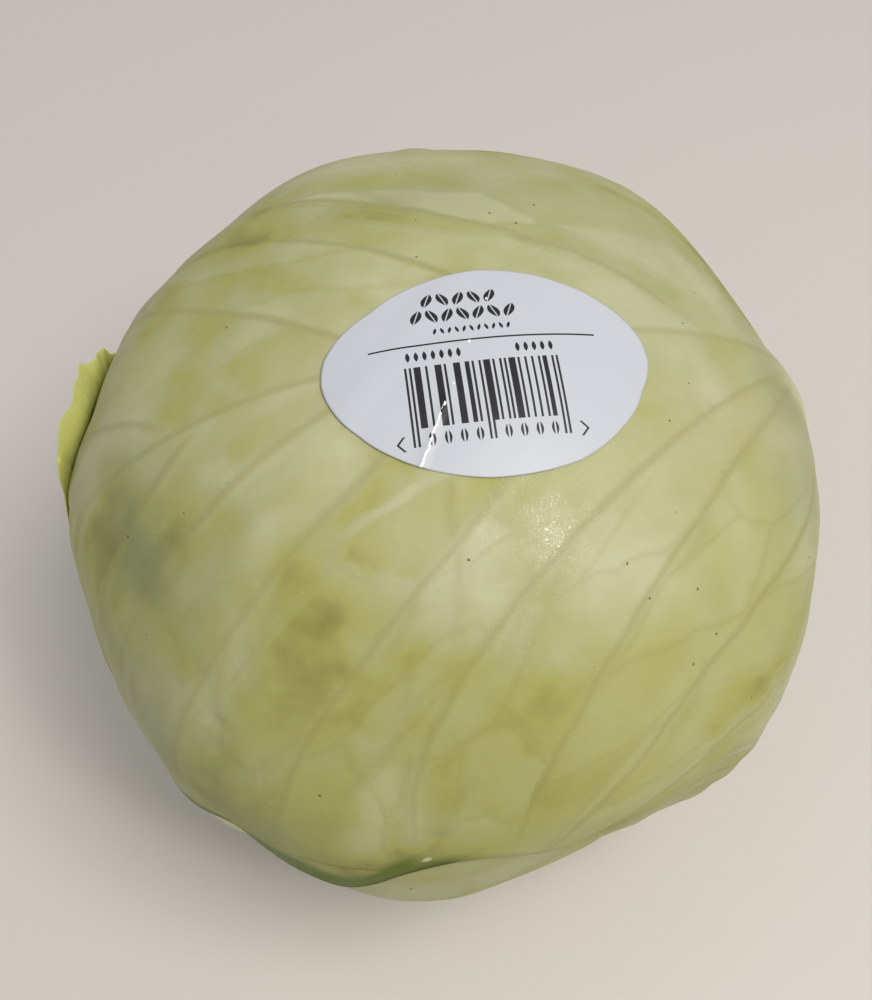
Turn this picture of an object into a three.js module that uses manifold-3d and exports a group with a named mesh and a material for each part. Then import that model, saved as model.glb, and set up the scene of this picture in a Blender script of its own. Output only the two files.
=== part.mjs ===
// A white cabbage head standing on its cut stem, in millimetres, with +Z up.
// The origin is the centre of the stem's cut face. Every surface of the head is a distance from
// one centre point on the stem's axis: the head's form, less the depth of the leaf layer.
// Directions are an azimuth from +X towards +Y and an elevation above the horizontal, in degrees.
import * as THREE from "three";
import { mergeVertices } from "three/addons/utils/BufferGeometryUtils.js";
import Module from "manifold-3d";

// The head's form, measured over the crown leaf.
const HALF_WIDTH = 76.2; // along X
const HALF_DEPTH = 76.3; // along Y
const CROWN_HEIGHT = 72; // from the centre up to the crown
const BELLY_DEPTH = 67.8; // from the centre down to the stem
const FULLNESS = 2.12; // 2 is an ellipsoid; more is squarer
const FLAT_BLEND = 2; // softness of the edges between flats

// Where the leaves lie stretched nearly flat over the ribs beneath them. depth is how far the
// flat's middle lies inside the full form.
const FLATS = [
  { azimuth: -6, elevation: 17, depth: 0.4 },
  { azimuth: 22, elevation: 34, depth: 3.4 },
  { azimuth: 146, elevation: 39, depth: 2.4 },
  { azimuth: -154, elevation: 5, depth: 4.2 },
  { azimuth: -130, elevation: -7, depth: 3.9 },
  { azimuth: -66, elevation: -12, depth: 6.5 },
  { azimuth: -50, elevation: -7, depth: 3.8 },
  { azimuth: -22, elevation: 7, depth: 1.8 },
  { azimuth: -48, elevation: 36, depth: 1.2 },
  { azimuth: -95, elevation: 32, depth: 1.2 },
  { azimuth: -140, elevation: 40, depth: 1.6 },
  { azimuth: -10, elevation: 52, depth: 1.2 },
  { azimuth: 170, elevation: 62, depth: 1.4 },
  { azimuth: 60, elevation: 2, depth: 3.0 },
  { azimuth: 108, elevation: -4, depth: 3.0 },
  { azimuth: 160, elevation: -6, depth: 2.5 },
  { azimuth: 18, elevation: -10, depth: 2.5 },
  { azimuth: -30, elevation: -28, depth: 2.5 },
  { azimuth: -100, elevation: -42, depth: 2.5 },
  { azimuth: -165, elevation: -38, depth: 2.5 },
  { azimuth: 60, elevation: -38, depth: 2.5 },
  { azimuth: 135, elevation: -40, depth: 2.5 },
  { azimuth: 173, elevation: 24, depth: 2.0 },
  { azimuth: -121, elevation: -20, depth: 2.6 },
];

// The stem: the cut stump of the stalk that carries every leaf.
const STEM_RADIUS = 18;
const STEM_NECK_RADIUS = 15; // where it runs up into the heart
const STUB = 5; // how far the cut face stands below the head's lowest point
const CUT_CHAMFER = 1.2;
const STEM_CLEARANCE = 0.6;

// Leaf layers, counted inwards from the crown leaf as layer 0.
const LEAF_PITCH = 1.6; // from one layer to the next at the crown
const BASE_PITCH = 3.0; // the same at the stem, where leaves are fleshy
const LEAF_CLEARANCE = 0.6; // open space between two layers
const WRAPPERS = 5;
const GOLDEN_ANGLE = 137.5; // from each leaf's rib to that of the next leaf inwards
const CROWN_LEAF_AZIMUTH = 10; // where the crown leaf's rib leaves the stem

// Leaf outlines: [bearing round the leaf's middle from its tip, reach from the middle].
// A bearing of 180 points at the stem, and every outline runs in under the stem there.
const CROWN_OUTLINE = [
  [-140, 150], [-128, 124], [-115, 106], [-100, 96], [-80, 92], [-50, 94], [-20, 98], [0, 95],
  [14, 93], [26, 90], [36, 88], [45, 92], [50, 94], [54, 93.5], [61, 93], [66, 93.5], [70, 90],
  [75, 84], [82, 80], [90, 80], [97, 84], [104, 93], [112, 107], [126, 124], [140, 150],
];
const WRAPPER_OUTLINE = [
  [-142, 152], [-130, 132], [-115, 116], [-95, 104], [-60, 92], [-20, 84], [20, 84], [60, 92],
  [95, 104], [115, 116], [130, 132], [142, 152],
];
const TORN_OUTLINE = [
  [-146, 54], [-128, 36], [-104, 23], [-80, 17], [-60, 16], [-48, 17], [-38, 20], [-30, 24],
  [-23, 32], [-16, 37.5], [-7, 39.5], [1, 36.5], [9, 34], [17, 31.5], [26, 28.5], [40, 28],
  [58, 27], [82, 31], [105, 35], [125, 43], [146, 60],
];
const UNDER_STEM = 172; // the reach of every outline at the stem
const STEM_BEARING = 155; // the outline runs in under the stem beyond this bearing
const OUTLINE_WAVE = 2.2; // how far a wrapper's outline swings from the common one

// The torn leaf: a remnant of an older leaf, whose ragged upper rim stands off the head.
const TORN_AZIMUTH = 170;
const TORN_TILT = 100; // its middle, measured from the crown
const TORN_UNDER_STEM = 76; // as UNDER_STEM, from that middle
const TORN_LIFT = 3.5;
const LIFT_BEARING = -5; // where the rim stands off most
const LIFT_NEAR = 9; // how far from there it stands off as much
const LIFT_FAR = 30; // and how far from there it lies close again
const LIFT_REACH = 24; // how far in from the rim the lift begins
const LIFT_HEIGHT = 0.35; // the lift grows up to this sine of the elevation

// The oval paper label on the crown.
const LABEL_AZIMUTH = -68;
const LABEL_ELEVATION = 77;
const LABEL_TURN = 8; // its long axis, from +X towards +Y
const LABEL_HALF_LENGTH = 25.7;
const LABEL_HALF_WIDTH = 17.5;
const LABEL_THICKNESS = 0.3;
// Its outline: [bearing from its long axis, share of a plain oval's reach].
const LABEL_OUTLINE = [
  [-180, 1.0], [-165, 0.98], [-147, 0.965], [-130, 0.98], [-118, 1.0], [-95, 1.035],
  [-65, 1.04], [-42, 0.99], [-18, 0.975], [0, 1.02], [12, 1.02], [37, 0.99], [56, 0.99],
  [87, 1.035], [105, 1.005], [134, 0.955], [150, 0.985], [165, 1.005], [180, 1.0],
];

// Facets.
const HEAD_DETAIL = 6;
const OUTLINE_SEGMENTS = 48;
const CUTTER_RINGS = 8;
const STEM_SEGMENTS = 36;

const CENTRE = new THREE.Vector3(0, 0, STUB + BELLY_DEPTH);
const OUTSIDE = 1.5 * HALF_WIDTH; // a radius clear of every leaf
const INSIDE = 0.3 * HALF_WIDTH; // a radius within every leaf
const rad = THREE.MathUtils.degToRad;
const deg = THREE.MathUtils.radToDeg;
const { smoothstep } = THREE.MathUtils;

const wasm = await Module();
wasm.setup();

function solid(geometry) {
  geometry.deleteAttribute("normal");
  geometry.deleteAttribute("uv");
  const merged = mergeVertices(geometry, 1e-3);
  return new wasm.Manifold(
    new wasm.Mesh({
      numProp: 3,
      vertProperties: new Float32Array(merged.getAttribute("position").array),
      triVerts: new Uint32Array(merged.index.array),
    }),
  );
}

function geometryOf(body) {
  const mesh = body.getMesh();
  const geometry = new THREE.BufferGeometry();
  geometry.setAttribute("position", new THREE.BufferAttribute(mesh.vertProperties, mesh.numProp));
  geometry.setIndex(new THREE.BufferAttribute(mesh.triVerts, 1));
  geometry.computeVertexNormals();
  return geometry;
}

function direction(azimuth, elevation) {
  const level = Math.cos(rad(elevation));
  return new THREE.Vector3(
    level * Math.cos(rad(azimuth)),
    level * Math.sin(rad(azimuth)),
    Math.sin(rad(elevation)),
  );
}

// Radius of the plain round form: a rounded box between an ellipsoid and a block.
function roundRadius(way) {
  const height = way.z > 0 ? CROWN_HEIGHT : BELLY_DEPTH;
  const sum =
    Math.abs(way.x / HALF_WIDTH) ** FULLNESS +
    Math.abs(way.y / HALF_DEPTH) ** FULLNESS +
    Math.abs(way.z / height) ** FULLNESS;
  return sum ** (-1 / FULLNESS);
}

const flatPlanes = FLATS.map(({ azimuth, elevation, depth }) => {
  const normal = direction(azimuth, elevation);
  return { normal, distance: roundRadius(normal) - depth };
});

// Radius of the head over the crown leaf: the least of the round form and the flats' planes,
// with the edges between them softened by a log-sum of exponentials.
function headRadius(way) {
  const round = roundRadius(way);
  let sum = 1;
  for (const { normal, distance } of flatPlanes) {
    const facing = way.dot(normal);
    if (facing > 0.5) sum += Math.exp((round - distance / facing) / FLAT_BLEND);
  }
  return round - FLAT_BLEND * Math.log(sum);
}

// Distance between two layers: thin over the crown, fleshy near the stem.
function pitch(way) {
  return LEAF_PITCH + (BASE_PITCH - LEAF_PITCH) * smoothstep(-way.z, 0.2, 0.95);
}

const outerRadius = (way, layer) => headRadius(way) - layer * pitch(way);
const innerRadius = (way, layer) => outerRadius(way, layer + 1) + LEAF_CLEARANCE;

// A ball whose surface lies at a given radius from the head's centre. Every ball has its
// corners in the same directions, so that one nests evenly in the next.
function ball(radius) {
  const geometry = new THREE.IcosahedronGeometry(1, HEAD_DETAIL);
  const place = geometry.getAttribute("position");
  const way = new THREE.Vector3();
  for (let i = 0; i < place.count; i++) {
    way.fromBufferAttribute(place, i).normalize();
    way.multiplyScalar(radius(way)).add(CENTRE);
    place.setXYZ(i, way.x, way.y, way.z);
  }
  return solid(geometry);
}

// A leaf's own frame: its middle lies tilt degrees from the crown, on the side of its rib.
// The frame's X points at the leaf's tip, and its Z out through its middle.
function leafFrame(azimuth, tilt) {
  const outward = direction(azimuth, 90 - tilt);
  const tipward = direction(azimuth, -tilt).negate();
  const sideways = new THREE.Vector3().crossVectors(outward, tipward);
  return new THREE.Matrix4().makeBasis(tipward, sideways, outward);
}

// A smooth curve through an outline's points, as a function of the bearing.
function outlineCurve(points, underStem) {
  const before = [-180, -STEM_BEARING].map((bearing) => [bearing, underStem]);
  const after = [STEM_BEARING, 180].map((bearing) => [bearing, underStem]);
  const all = [...before, ...points, ...after];
  const curve = new THREE.CubicInterpolant(
    all.map(([bearing]) => bearing),
    all.map(([, reach]) => reach),
    1,
  );
  return (bearing) => Math.min(curve.evaluate(bearing)[0], underStem);
}

// Everything within an outline, as a cone from near the head's centre to beyond its surface.
// A sphere's upper rows become the far cap and its lower rows the near one.
function outlineCone(frame, reach) {
  const rows = 2 * CUTTER_RINGS + 1;
  const sphere = new THREE.SphereGeometry(1, OUTLINE_SEGMENTS, rows).rotateX(Math.PI / 2);
  const place = sphere.getAttribute("position");
  const point = new THREE.Vector3();
  for (let i = 0; i < place.count; i++) {
    point.fromBufferAttribute(place, i);
    const row = Math.floor(i / (OUTLINE_SEGMENTS + 1));
    const share = Math.min(row, rows - row) / CUTTER_RINGS;
    const bearing = Math.atan2(point.y, point.x);
    const angle = rad(share * reach(deg(bearing)));
    point.set(
      Math.sin(angle) * Math.cos(bearing),
      Math.sin(angle) * Math.sin(bearing),
      Math.cos(angle),
    );
    point.transformDirection(frame);
    point.multiplyScalar(row <= CUTTER_RINGS ? OUTSIDE : INSIDE).add(CENTRE);
    place.setXYZ(i, point.x, point.y, point.z);
  }
  return solid(sphere);
}

const stemClearance = solid(
  new THREE.CylinderGeometry(
    STEM_RADIUS + STEM_CLEARANCE,
    STEM_RADIUS + STEM_CLEARANCE,
    CENTRE.z,
    STEM_SEGMENTS,
  ).rotateX(Math.PI / 2),
);

function leafBody(outer, inner, cone) {
  return ball(outer).subtract(ball(inner)).intersect(cone).subtract(stemClearance);
}

function wrapperLeaf(layer) {
  const swing = (bearing) => OUTLINE_WAVE * Math.sin(rad(3 * bearing) + 2 * layer);
  const points =
    layer === 0
      ? CROWN_OUTLINE
      : WRAPPER_OUTLINE.map(([bearing, reach]) => [bearing, reach + swing(bearing)]);
  const frame = leafFrame(CROWN_LEAF_AZIMUTH - layer * GOLDEN_ANGLE, 0);
  return leafBody(
    (way) => outerRadius(way, layer),
    (way) => innerRadius(way, layer),
    outlineCone(frame, outlineCurve(points, UNDER_STEM)),
  );
}

function tornLeaf() {
  const frame = leafFrame(TORN_AZIMUTH, TORN_TILT);
  const toLeaf = frame.clone().invert();
  const reach = outlineCurve(TORN_OUTLINE, TORN_UNDER_STEM);
  const lift = (way) => {
    const local = way.clone().transformDirection(toLeaf);
    const bearing = deg(Math.atan2(local.y, local.x));
    const inset = reach(bearing) - deg(Math.acos(local.z));
    const fromRim = 1 - smoothstep(inset, 0, LIFT_REACH);
    const beside = 1 - smoothstep(Math.abs(bearing - LIFT_BEARING), LIFT_NEAR, LIFT_FAR);
    return TORN_LIFT * fromRim * beside * smoothstep(way.z, 0, LIFT_HEIGHT);
  };
  return leafBody(
    (way) => outerRadius(way, -1) + lift(way),
    (way) => innerRadius(way, -1) + lift(way),
    outlineCone(frame, reach),
  );
}

function label() {
  const frame = leafFrame(LABEL_AZIMUTH, 90 - LABEL_ELEVATION);
  frame.multiply(new THREE.Matrix4().makeRotationZ(rad(LABEL_TURN - LABEL_AZIMUTH - 180)));
  const cut = new THREE.LinearInterpolant(
    LABEL_OUTLINE.map(([bearing]) => bearing),
    LABEL_OUTLINE.map(([, share]) => share),
    1,
  );
  const oval = (bearing) => {
    const along = Math.cos(rad(bearing)) / LABEL_HALF_LENGTH;
    const across = Math.sin(rad(bearing)) / LABEL_HALF_WIDTH;
    const share = cut.evaluate(deg(Math.atan2(across, along)))[0];
    return deg(share / Math.hypot(along, across) / CROWN_HEIGHT);
  };
  const under = (way) => headRadius(way) + LEAF_CLEARANCE;
  return ball((way) => under(way) + LABEL_THICKNESS)
    .subtract(ball(under))
    .intersect(outlineCone(frame, oval));
}

function stemGeometry(heart) {
  const top = heart.boundingBox().min[2] - STEM_CLEARANCE;
  const profile = [
    new THREE.Vector2(0, 0),
    new THREE.Vector2(STEM_RADIUS - CUT_CHAMFER, 0),
    new THREE.Vector2(STEM_RADIUS, CUT_CHAMFER),
    new THREE.Vector2(STEM_RADIUS, 0.55 * top),
    new THREE.Vector2(STEM_NECK_RADIUS, top),
    new THREE.Vector2(0, top),
  ];
  return new THREE.LatheGeometry(profile, STEM_SEGMENTS).rotateX(Math.PI / 2);
}

function piece(name, geometry, colour, roughness) {
  const finish = new THREE.MeshStandardMaterial({ color: colour, roughness, metalness: 0 });
  const mesh = new THREE.Mesh(geometry, finish);
  mesh.name = name;
  return mesh;
}

// The heart: the tightly packed inner leaves, which grow as one firm ball round the stem's top.
const heart = ball((way) => outerRadius(way, WRAPPERS));
const cabbage = new THREE.Group();
cabbage.add(
  piece("stem", stemGeometry(heart), 0xd9d4b0, 0.7),
  piece("heart", geometryOf(heart), 0xd2d3a8, 0.5),
  piece("crown_leaf", geometryOf(wrapperLeaf(0)), 0xb4b684, 0.45),
);
for (let layer = 1; layer < WRAPPERS; layer++) {
  cabbage.add(piece(`wrapper_leaf_${layer}`, geometryOf(wrapperLeaf(layer)), 0xb9bb8c, 0.45));
}
cabbage.add(
  piece("torn_leaf", geometryOf(tornLeaf()), 0xa3a955, 0.45),
  piece("label", geometryOf(label()), 0xe4e7ee, 0.35),
);

export default cabbage;
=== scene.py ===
"""A white cabbage head on its cut stem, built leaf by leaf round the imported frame, in metres.

Directions from the head's centre are unit vectors, called ways. A leaf has its own polar
coordinates on the head: a bearing round its middle, 0 at its tip and 180 at the stem, and a
reach, the angle at the centre. Courses and patches on a leaf are placed along its rib, from -165
at the stem through 0 at its middle to its tip, and across it, all in degrees.
"""

import math
from itertools import product

import bpy
import numpy as np
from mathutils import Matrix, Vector


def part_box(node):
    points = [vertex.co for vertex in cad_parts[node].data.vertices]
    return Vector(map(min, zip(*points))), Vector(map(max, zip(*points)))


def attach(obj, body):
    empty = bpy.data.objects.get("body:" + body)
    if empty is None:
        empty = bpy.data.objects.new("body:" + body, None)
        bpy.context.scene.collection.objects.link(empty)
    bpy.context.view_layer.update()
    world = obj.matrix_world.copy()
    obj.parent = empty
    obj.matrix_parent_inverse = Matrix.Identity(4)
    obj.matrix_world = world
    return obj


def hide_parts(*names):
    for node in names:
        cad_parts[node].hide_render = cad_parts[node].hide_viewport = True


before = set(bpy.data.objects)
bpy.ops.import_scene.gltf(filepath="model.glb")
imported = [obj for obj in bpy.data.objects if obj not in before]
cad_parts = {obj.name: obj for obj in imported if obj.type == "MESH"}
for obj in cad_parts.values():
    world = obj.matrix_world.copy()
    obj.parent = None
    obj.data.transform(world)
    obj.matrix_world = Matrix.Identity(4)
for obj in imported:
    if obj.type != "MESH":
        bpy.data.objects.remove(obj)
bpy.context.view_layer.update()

bl_info = {
    "name": "White Cabbage",
    "version": (1, 0, 0),
    "blender": (4, 5, 0),
    "location": "3D View > Sidebar > Cabbage",
    "description": "Builds a white cabbage head from its leaves, stem and paper label",
    "category": "Add Mesh",
}

MM = 0.001
STEM_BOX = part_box("stem")

# The head's form: azimuth and elevation in degrees of the places where the leaves lie stretched
# nearly flat, and how far each flat's middle lies inside the full form.
FLATS = [
    (-6, 17, 0.4 * MM), (22, 34, 3.4 * MM), (146, 39, 2.4 * MM), (-154, 5, 4.2 * MM),
    (-130, -7, 3.9 * MM), (-66, -12, 6.5 * MM), (-50, -7, 3.8 * MM), (-22, 7, 1.8 * MM),
    (-48, 36, 1.2 * MM), (-95, 32, 1.2 * MM), (-140, 40, 1.6 * MM), (-10, 52, 1.2 * MM),
    (170, 62, 1.4 * MM), (60, 2, 3.0 * MM), (108, -4, 3.0 * MM), (160, -6, 2.5 * MM),
    (18, -10, 2.5 * MM), (-30, -28, 2.5 * MM), (-100, -42, 2.5 * MM), (-165, -38, 2.5 * MM),
    (60, -38, 2.5 * MM), (135, -40, 2.5 * MM), (173, 24, 2.0 * MM),
    (-121, -20, 2.6 * MM),
]
MEAN_RADIUS = 73 * MM  # turns angles at the centre into lengths on the surface

WRAPPERS = 4
GOLDEN_ANGLE = 137.5  # from each leaf's rib to that of the next leaf inwards
CROWN_RIB_AZIMUTH = 10
STEM_END = 165  # how far from a leaf's middle the stem's side lies

# Outlines: (bearing, reach).
CROWN_OUTLINE = [
    (-140, 150), (-128, 124), (-115, 106), (-100, 96), (-80, 92), (-50, 94), (-20, 98), (0, 95),
    (14, 93), (26, 90), (36, 88), (45, 92), (50, 94), (54, 93.5), (61, 93), (66, 93.5),
    (70, 90), (75, 84), (82, 80), (90, 80), (97, 84), (104, 93), (112, 107), (126, 124),
    (140, 150),
]
WRAPPER_OUTLINE = [
    (-142, 152), (-130, 132), (-115, 116), (-95, 104), (-60, 92), (-20, 84), (20, 84), (60, 92),
    (95, 104), (115, 116), (130, 132), (142, 152),
]
TORN_OUTLINE = [
    (-146, 54), (-128, 36), (-104, 23), (-80, 17), (-60, 16), (-48, 17), (-38, 20), (-30, 24),
    (-23, 32), (-16, 37.5), (-7, 39.5), (1, 36.5), (9, 34), (17, 31.5), (26, 28.5), (40, 28),
    (58, 27), (82, 31), (105, 35), (125, 43), (146, 60),
]
TORN_FLARE = -5  # the bearing where the torn leaf's rim stands off most

# A rib's course: (along, across).
CROWN_RIB = [(-165, 0), (-100, -3), (-65, -1), (-34, 6), (-5, 11), (19, 10), (47, 8), (92, 5)]
WRAPPER_RIB = [(-165, 0), (-90, 1), (-30, -2), (30, 1), (84, 0)]
TORN_RIB = [(-66, 0), (-20, 2), (38, -3)]

# Side veins: where each leaves the rib, its heading there and at its end from the way the rib
# runs, and its length. A positive heading turns to one side of the rib, a negative one to the
# other. They run in order from the stem to the tip on each side.
CROWN_VEINS = [
    (-135, 50, 62, 95), (-118, 48, 74, 95), (-99, 46, 80, 95), (-79, 47, 78, 105),
    (-65, 37, 75, 104), (-62, 30, 52, 120), (-20, 53, 9, 100), (-6, 35, 10, 84),
    (5, 18, 12, 70), (34, 24, 8, 52),
    (-128, -52, -66, 95), (-108, -50, -70, 95), (-88, -46, -66, 100), (-66, -38, -56, 110),
    (-36, -26, -39, 105), (-14, -40, -27, 96), (9, -42, -26, 80), (38, -34, -22, 50),
]
WRAPPER_VEINS = [
    (-140, 52, 68, 90), (-122, 50, 72, 92), (-103, 47, 72, 94), (-83, 44, 66, 96),
    (-62, 40, 56, 96), (-40, 38, 44, 90), (-16, 36, 34, 80), (10, 33, 26, 64), (36, 30, 20, 44),
    (-131, -51, -70, 90), (-113, -49, -72, 92), (-93, -45, -70, 94), (-72, -42, -62, 96),
    (-50, -39, -50, 94), (-28, -37, -38, 86), (-3, -34, -30, 74), (23, -31, -23, 56),
]
TORN_VEINS = [
    (-52, 48, 60, 44), (-34, 46, 52, 44), (-14, 42, 44, 38), (6, 38, 34, 30),
    (-44, -50, -58, 44), (-24, -46, -50, 42), (-4, -42, -40, 36), (16, -36, -30, 24),
]
FORKS = ((0.5, 30, 0.15), (0.72, -26, 0.15))  # place on the vein, bend, share of its length

OUTER_PANE = 12 * MM  # the width of panes before the first vein and past the last
NARROWEST_PANE = 2 * MM  # the width kept where two veins run together
RIDGE_WIDTH = 1.9 * MM  # half the width of the ridge over a vein
TWIG_WIDTH = 1.0 * MM  # half the width of a smaller vein
FAR_SIDE = 40  # added to the pane's number on the far side of the rib

# Smaller veins of the crown leaf, placed one by one: (along, across) on each.
CROWN_LOOPS = [
    [(44, 36), (50, 40), (54, 43), (62, 45)], [(40, 49), (55, 49), (57, 44)],
    [(55, 49), (61, 51), (74, 53)], [(33, 39), (40, 41), (47, 42)],
    [(23, 54), (39, 58), (52, 59)], [(16, 46), (19, 50), (24, 53)],
    [(12, 63), (30, 70), (40, 73)], [(25, 58), (31, 62), (38, 67)],
    [(-5, 37), (-3, 43), (3, 49)], [(43, 21), (51, 23), (60, 27)],
    [(4, 27), (5, 31), (5, 35), (6, 40), (7, 45)],
]

# Coloured patches on the crown leaf: along, across, half length, half width, how far its length
# is turned from the rib, all in degrees, and strength. A negative strength takes some away.
CROWN_PATCHES = {
    # The wide olive ovals low on the leaf, such as (40, 62), (66, 64) and (75, 50), make it darker towards
    # the bottom: partly its own olive colour, partly painted shade.
    "olive": [
        (40, 62, 26, 12, 0, 0.8), (8, 66, 6, 4, 0, 0.9), (20, 60, 5, 3.5, 0, 0.7),
        (26, 37, 8, 5, 35, 0.75), (31, 45, 6, 5, 30, 0.4), (13, 46, 4, 2.5, 20, 0.7),
        (-3, 55, 6, 3.5, 20, 0.9), (4, 61, 8, 3.5, 60, 0.7), (27, 52, 6, 4, 50, 0.7),
        (64, 56, 8, 5, 0, 0.8), (76, 53, 9, 6, 0, 1.2), (35, 75.5, 7, 2.8, 0, 1.6),
        (-22, 66, 6, 3, 60, 0.8), (-6, 69, 6, 3, 60, 0.7), (26, -14, 5, 3, 0, 0.3),
        (-3, -17, 7, 4, 0, 0.6), (13, -26, 8, 4, 0, 0.7), (51, 20, 4, 9, 0, 0.15),
        (66, 64, 16, 7, 0, 1.0), (47, 57, 8, 5, 0, 0.7), (64, 43, 8, 5, 0, 0.7),
        (3, 65, 6, 3, 0, 0.8), (11, 57, 5, 5, 0, 0.7), (75, 50, 10, 8, 0, 0.8),
        (56, 62, 9, 5, 0, 1.0), (83, 55, 9, 6, 0, 1.0), (41, 67, 5, 4, 0, -1.5),
        (24, 51, 5, 4, 0, 0.7), (26, -19, 6, 4, 0, 0.7),
    ],
    "yellow": [
        (-48, 27, 7, 8, 0, 1.0), (-55, 38, 7, 6, 0, 0.8), (-30, 47, 12, 8, 40, 1.1),
        (-32, 66, 14, 13, 0, 0.9), (10, 70, 12, 8, 0, 0.6), (10, 48, 6, 4, 30, 0.8),
        (0, 57, 10, 6, 40, 0.8), (55, 52, 10, 6, 0, 0.6), (42, 47, 16, 12, 0, 0.3),
        (45, -3, 10, 6, 0, 0.5), (66, 62, 18, 9, 0, 0.9), (12, 56, 6, 6, 0, 0.6),
        (46, 57, 9, 5, 0, 0.5), (35, 76, 9, 3, 0, 0.9), (-37, 34, 6, 4, 0, 0.5),
        (78, 54, 11, 8, 0, 0.9),
    ],
    "green": [
        (50, 18, 6, 13, 8, 0.95), (70, 38, 12, 13, 0, 0.8), (78, 56, 8, 6, 0, 0.6),
        (-58, 18, 10, 14, 0, 0.6), (-52, 5, 7, 14, 0, 0.6), (-28, -6, 18, 20, 0, 0.5),
        (0, -20, 14, 7, 0, 0.5), (59, 22, 8, 8, 0, 0.4),
    ],
    # Most pale patches are bloom and bleaching, but three are painted light: the one at (56, -2) brightens
    # the side beside the torn leaf where shade falls, and those at (1, 37) and (-6, 28) are a painted
    # highlight where the wax glints.
    "pale": [
        (41, 36, 2.5, 1.6, 60, 0.9), (54, 37, 2.5, 2.5, 30, 0.7), (56, 44, 2, 2, 0, 0.8),
        (25, 64, 4, 2.2, 30, 1.5), (19, 70, 5, 1.8, 0, 1.2), (56, 64, 4, 2.2, 0, 2.4),
        (37, 61.5, 6, 2.4, 20, 2.0), (-9, 46, 10, 6, 40, 0.6), (60, 2, 6, 9, 0, 0.8),
        (43, 6, 5, 4, 0, 0.7), (14, 29, 8, 5, 20, 1.3), (24, 4, 7, 6, 0, 1.2),
        (30, 17, 6, 4, 0, 0.8), (1, 37, 8, 6, 40, 0.6), (34, -16, 8, 7, 0, 0.7),
        (-22, 41, 8, 7, 40, 0.4), (-22, -4, 14, 14, 0, 0.8), (-36, 10, 7, 9, 0, 0.7),
        (29, 27, 5, 3, 40, 0.8), (46, 28, 3, 5, 0, 0.7), (-6, 28, 8, 5, 0, 0.1),
        (56, -2, 8, 10, 0, 1.2), (38, 67, 6, 2.4, 0, 1.6), (-18, -22, 14, 8, 0, 0.5), (9, 33, 7, 9, 0, 1.2),
    ],
    "tan": [
        (-28, 27, 10, 6, 30, 0.6), (-40, 17, 14, 5, 10, 0.7), (-56, 16, 12, 5, 0, 0.5),
        (12, 32, 8, 6, 0, 0.6), (20, 8, 8, 6, 0, 0.6),
    ],
    "corner": [
        (84, 62, 12, 12, 0, 1.5), (66, 72, 8, 3, 0, 1.2), (54, 77, 4, 1.6, 0, 0.9),
        (108, 56, 12, 9, 0, 1.3), (92, 44, 14, 10, 0, 0.8),
    ],
    "scar": [(49, 74.8, 1.0, 0.5, 0, 1)],
    "shine": [
        (-1, 37, 7, 7, 0, 1.4), (-14, 32, 7, 6, 30, 1.4), (-21, 44, 6, 1.6, 30, 2.2),
        (-2, 46, 5, 4, 0, 1.2), (-35, 22, 8, 8, 0, 0.5),
    ],
    "dirt": [(21, -3, 8, 9, 0, 1.0), (-14, -14, 5, 4, 0, 1.0), (30, 24, 5, 9, 0, 0.4)],
}

# The label's outline: bearing from its long axis, and share of a plain oval's reach.
LABEL_OUTLINE = [
    (-180, 1.0), (-165, 0.98), (-147, 0.965), (-130, 0.98), (-118, 1.0), (-95, 1.035),
    (-65, 1.04), (-42, 0.99), (-18, 0.975), (0, 1.02), (12, 1.02), (37, 0.99), (56, 0.99),
    (87, 1.035), (105, 1.005), (134, 0.955), (150, 0.985), (165, 1.005), (180, 1.0),
]

# The label's crease: where it crosses the long axis, in millimetres from the middle, and how far
# it runs along for each millimetre across.
CREASE_START = -4.0
CREASE_SLANT = 0.5

# Dents in the crown leaf: along, across, radius and depth.
CROWN_DENTS = [
    (53, 42, 1.5 * MM, 0.5 * MM), (58, 45, 2.4 * MM, 0.45 * MM), (60, 62, 3.4 * MM, 0.35 * MM),
    (50, 36, 2.0 * MM, 0.25 * MM), (33, 71, 1.6 * MM, 0.4 * MM),
]


def linear(code):
    """An sRGB hex colour as linear red, green and blue."""
    parts = [int(code[i:i + 2], 16) / 255 for i in (1, 3, 5)]
    return tuple(c / 12.92 if c <= 0.04045 else ((c + 0.055) / 1.055) ** 2.4 for c in parts)


# ------------------------------------------------------------------------------- settings


class CabbageHead(bpy.types.PropertyGroup):
    """The head's form."""

    half_width: bpy.props.FloatProperty(
        name="Half width", description="Half the full form's width",
        default=76.2 * MM, unit="LENGTH")
    half_depth: bpy.props.FloatProperty(
        name="Half depth", description="Half the full form's depth",
        default=76.3 * MM, unit="LENGTH")
    crown_height: bpy.props.FloatProperty(
        name="Crown height", description="From the head's centre up to the full form's crown",
        default=72 * MM, unit="LENGTH")
    belly_depth: bpy.props.FloatProperty(
        name="Belly depth", description="From the head's centre down to the full form's underside",
        default=67.8 * MM, unit="LENGTH")
    stub: bpy.props.FloatProperty(
        name="Stub", description="How far the cut face stands below the head",
        default=5 * MM, unit="LENGTH")
    fullness: bpy.props.FloatProperty(
        name="Fullness", description="2 is an ellipsoid, more is squarer", default=2.12)
    flat_blend: bpy.props.FloatProperty(
        name="Flat blend", description="Softness of the edges between flats",
        default=2 * MM, unit="LENGTH")


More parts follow.
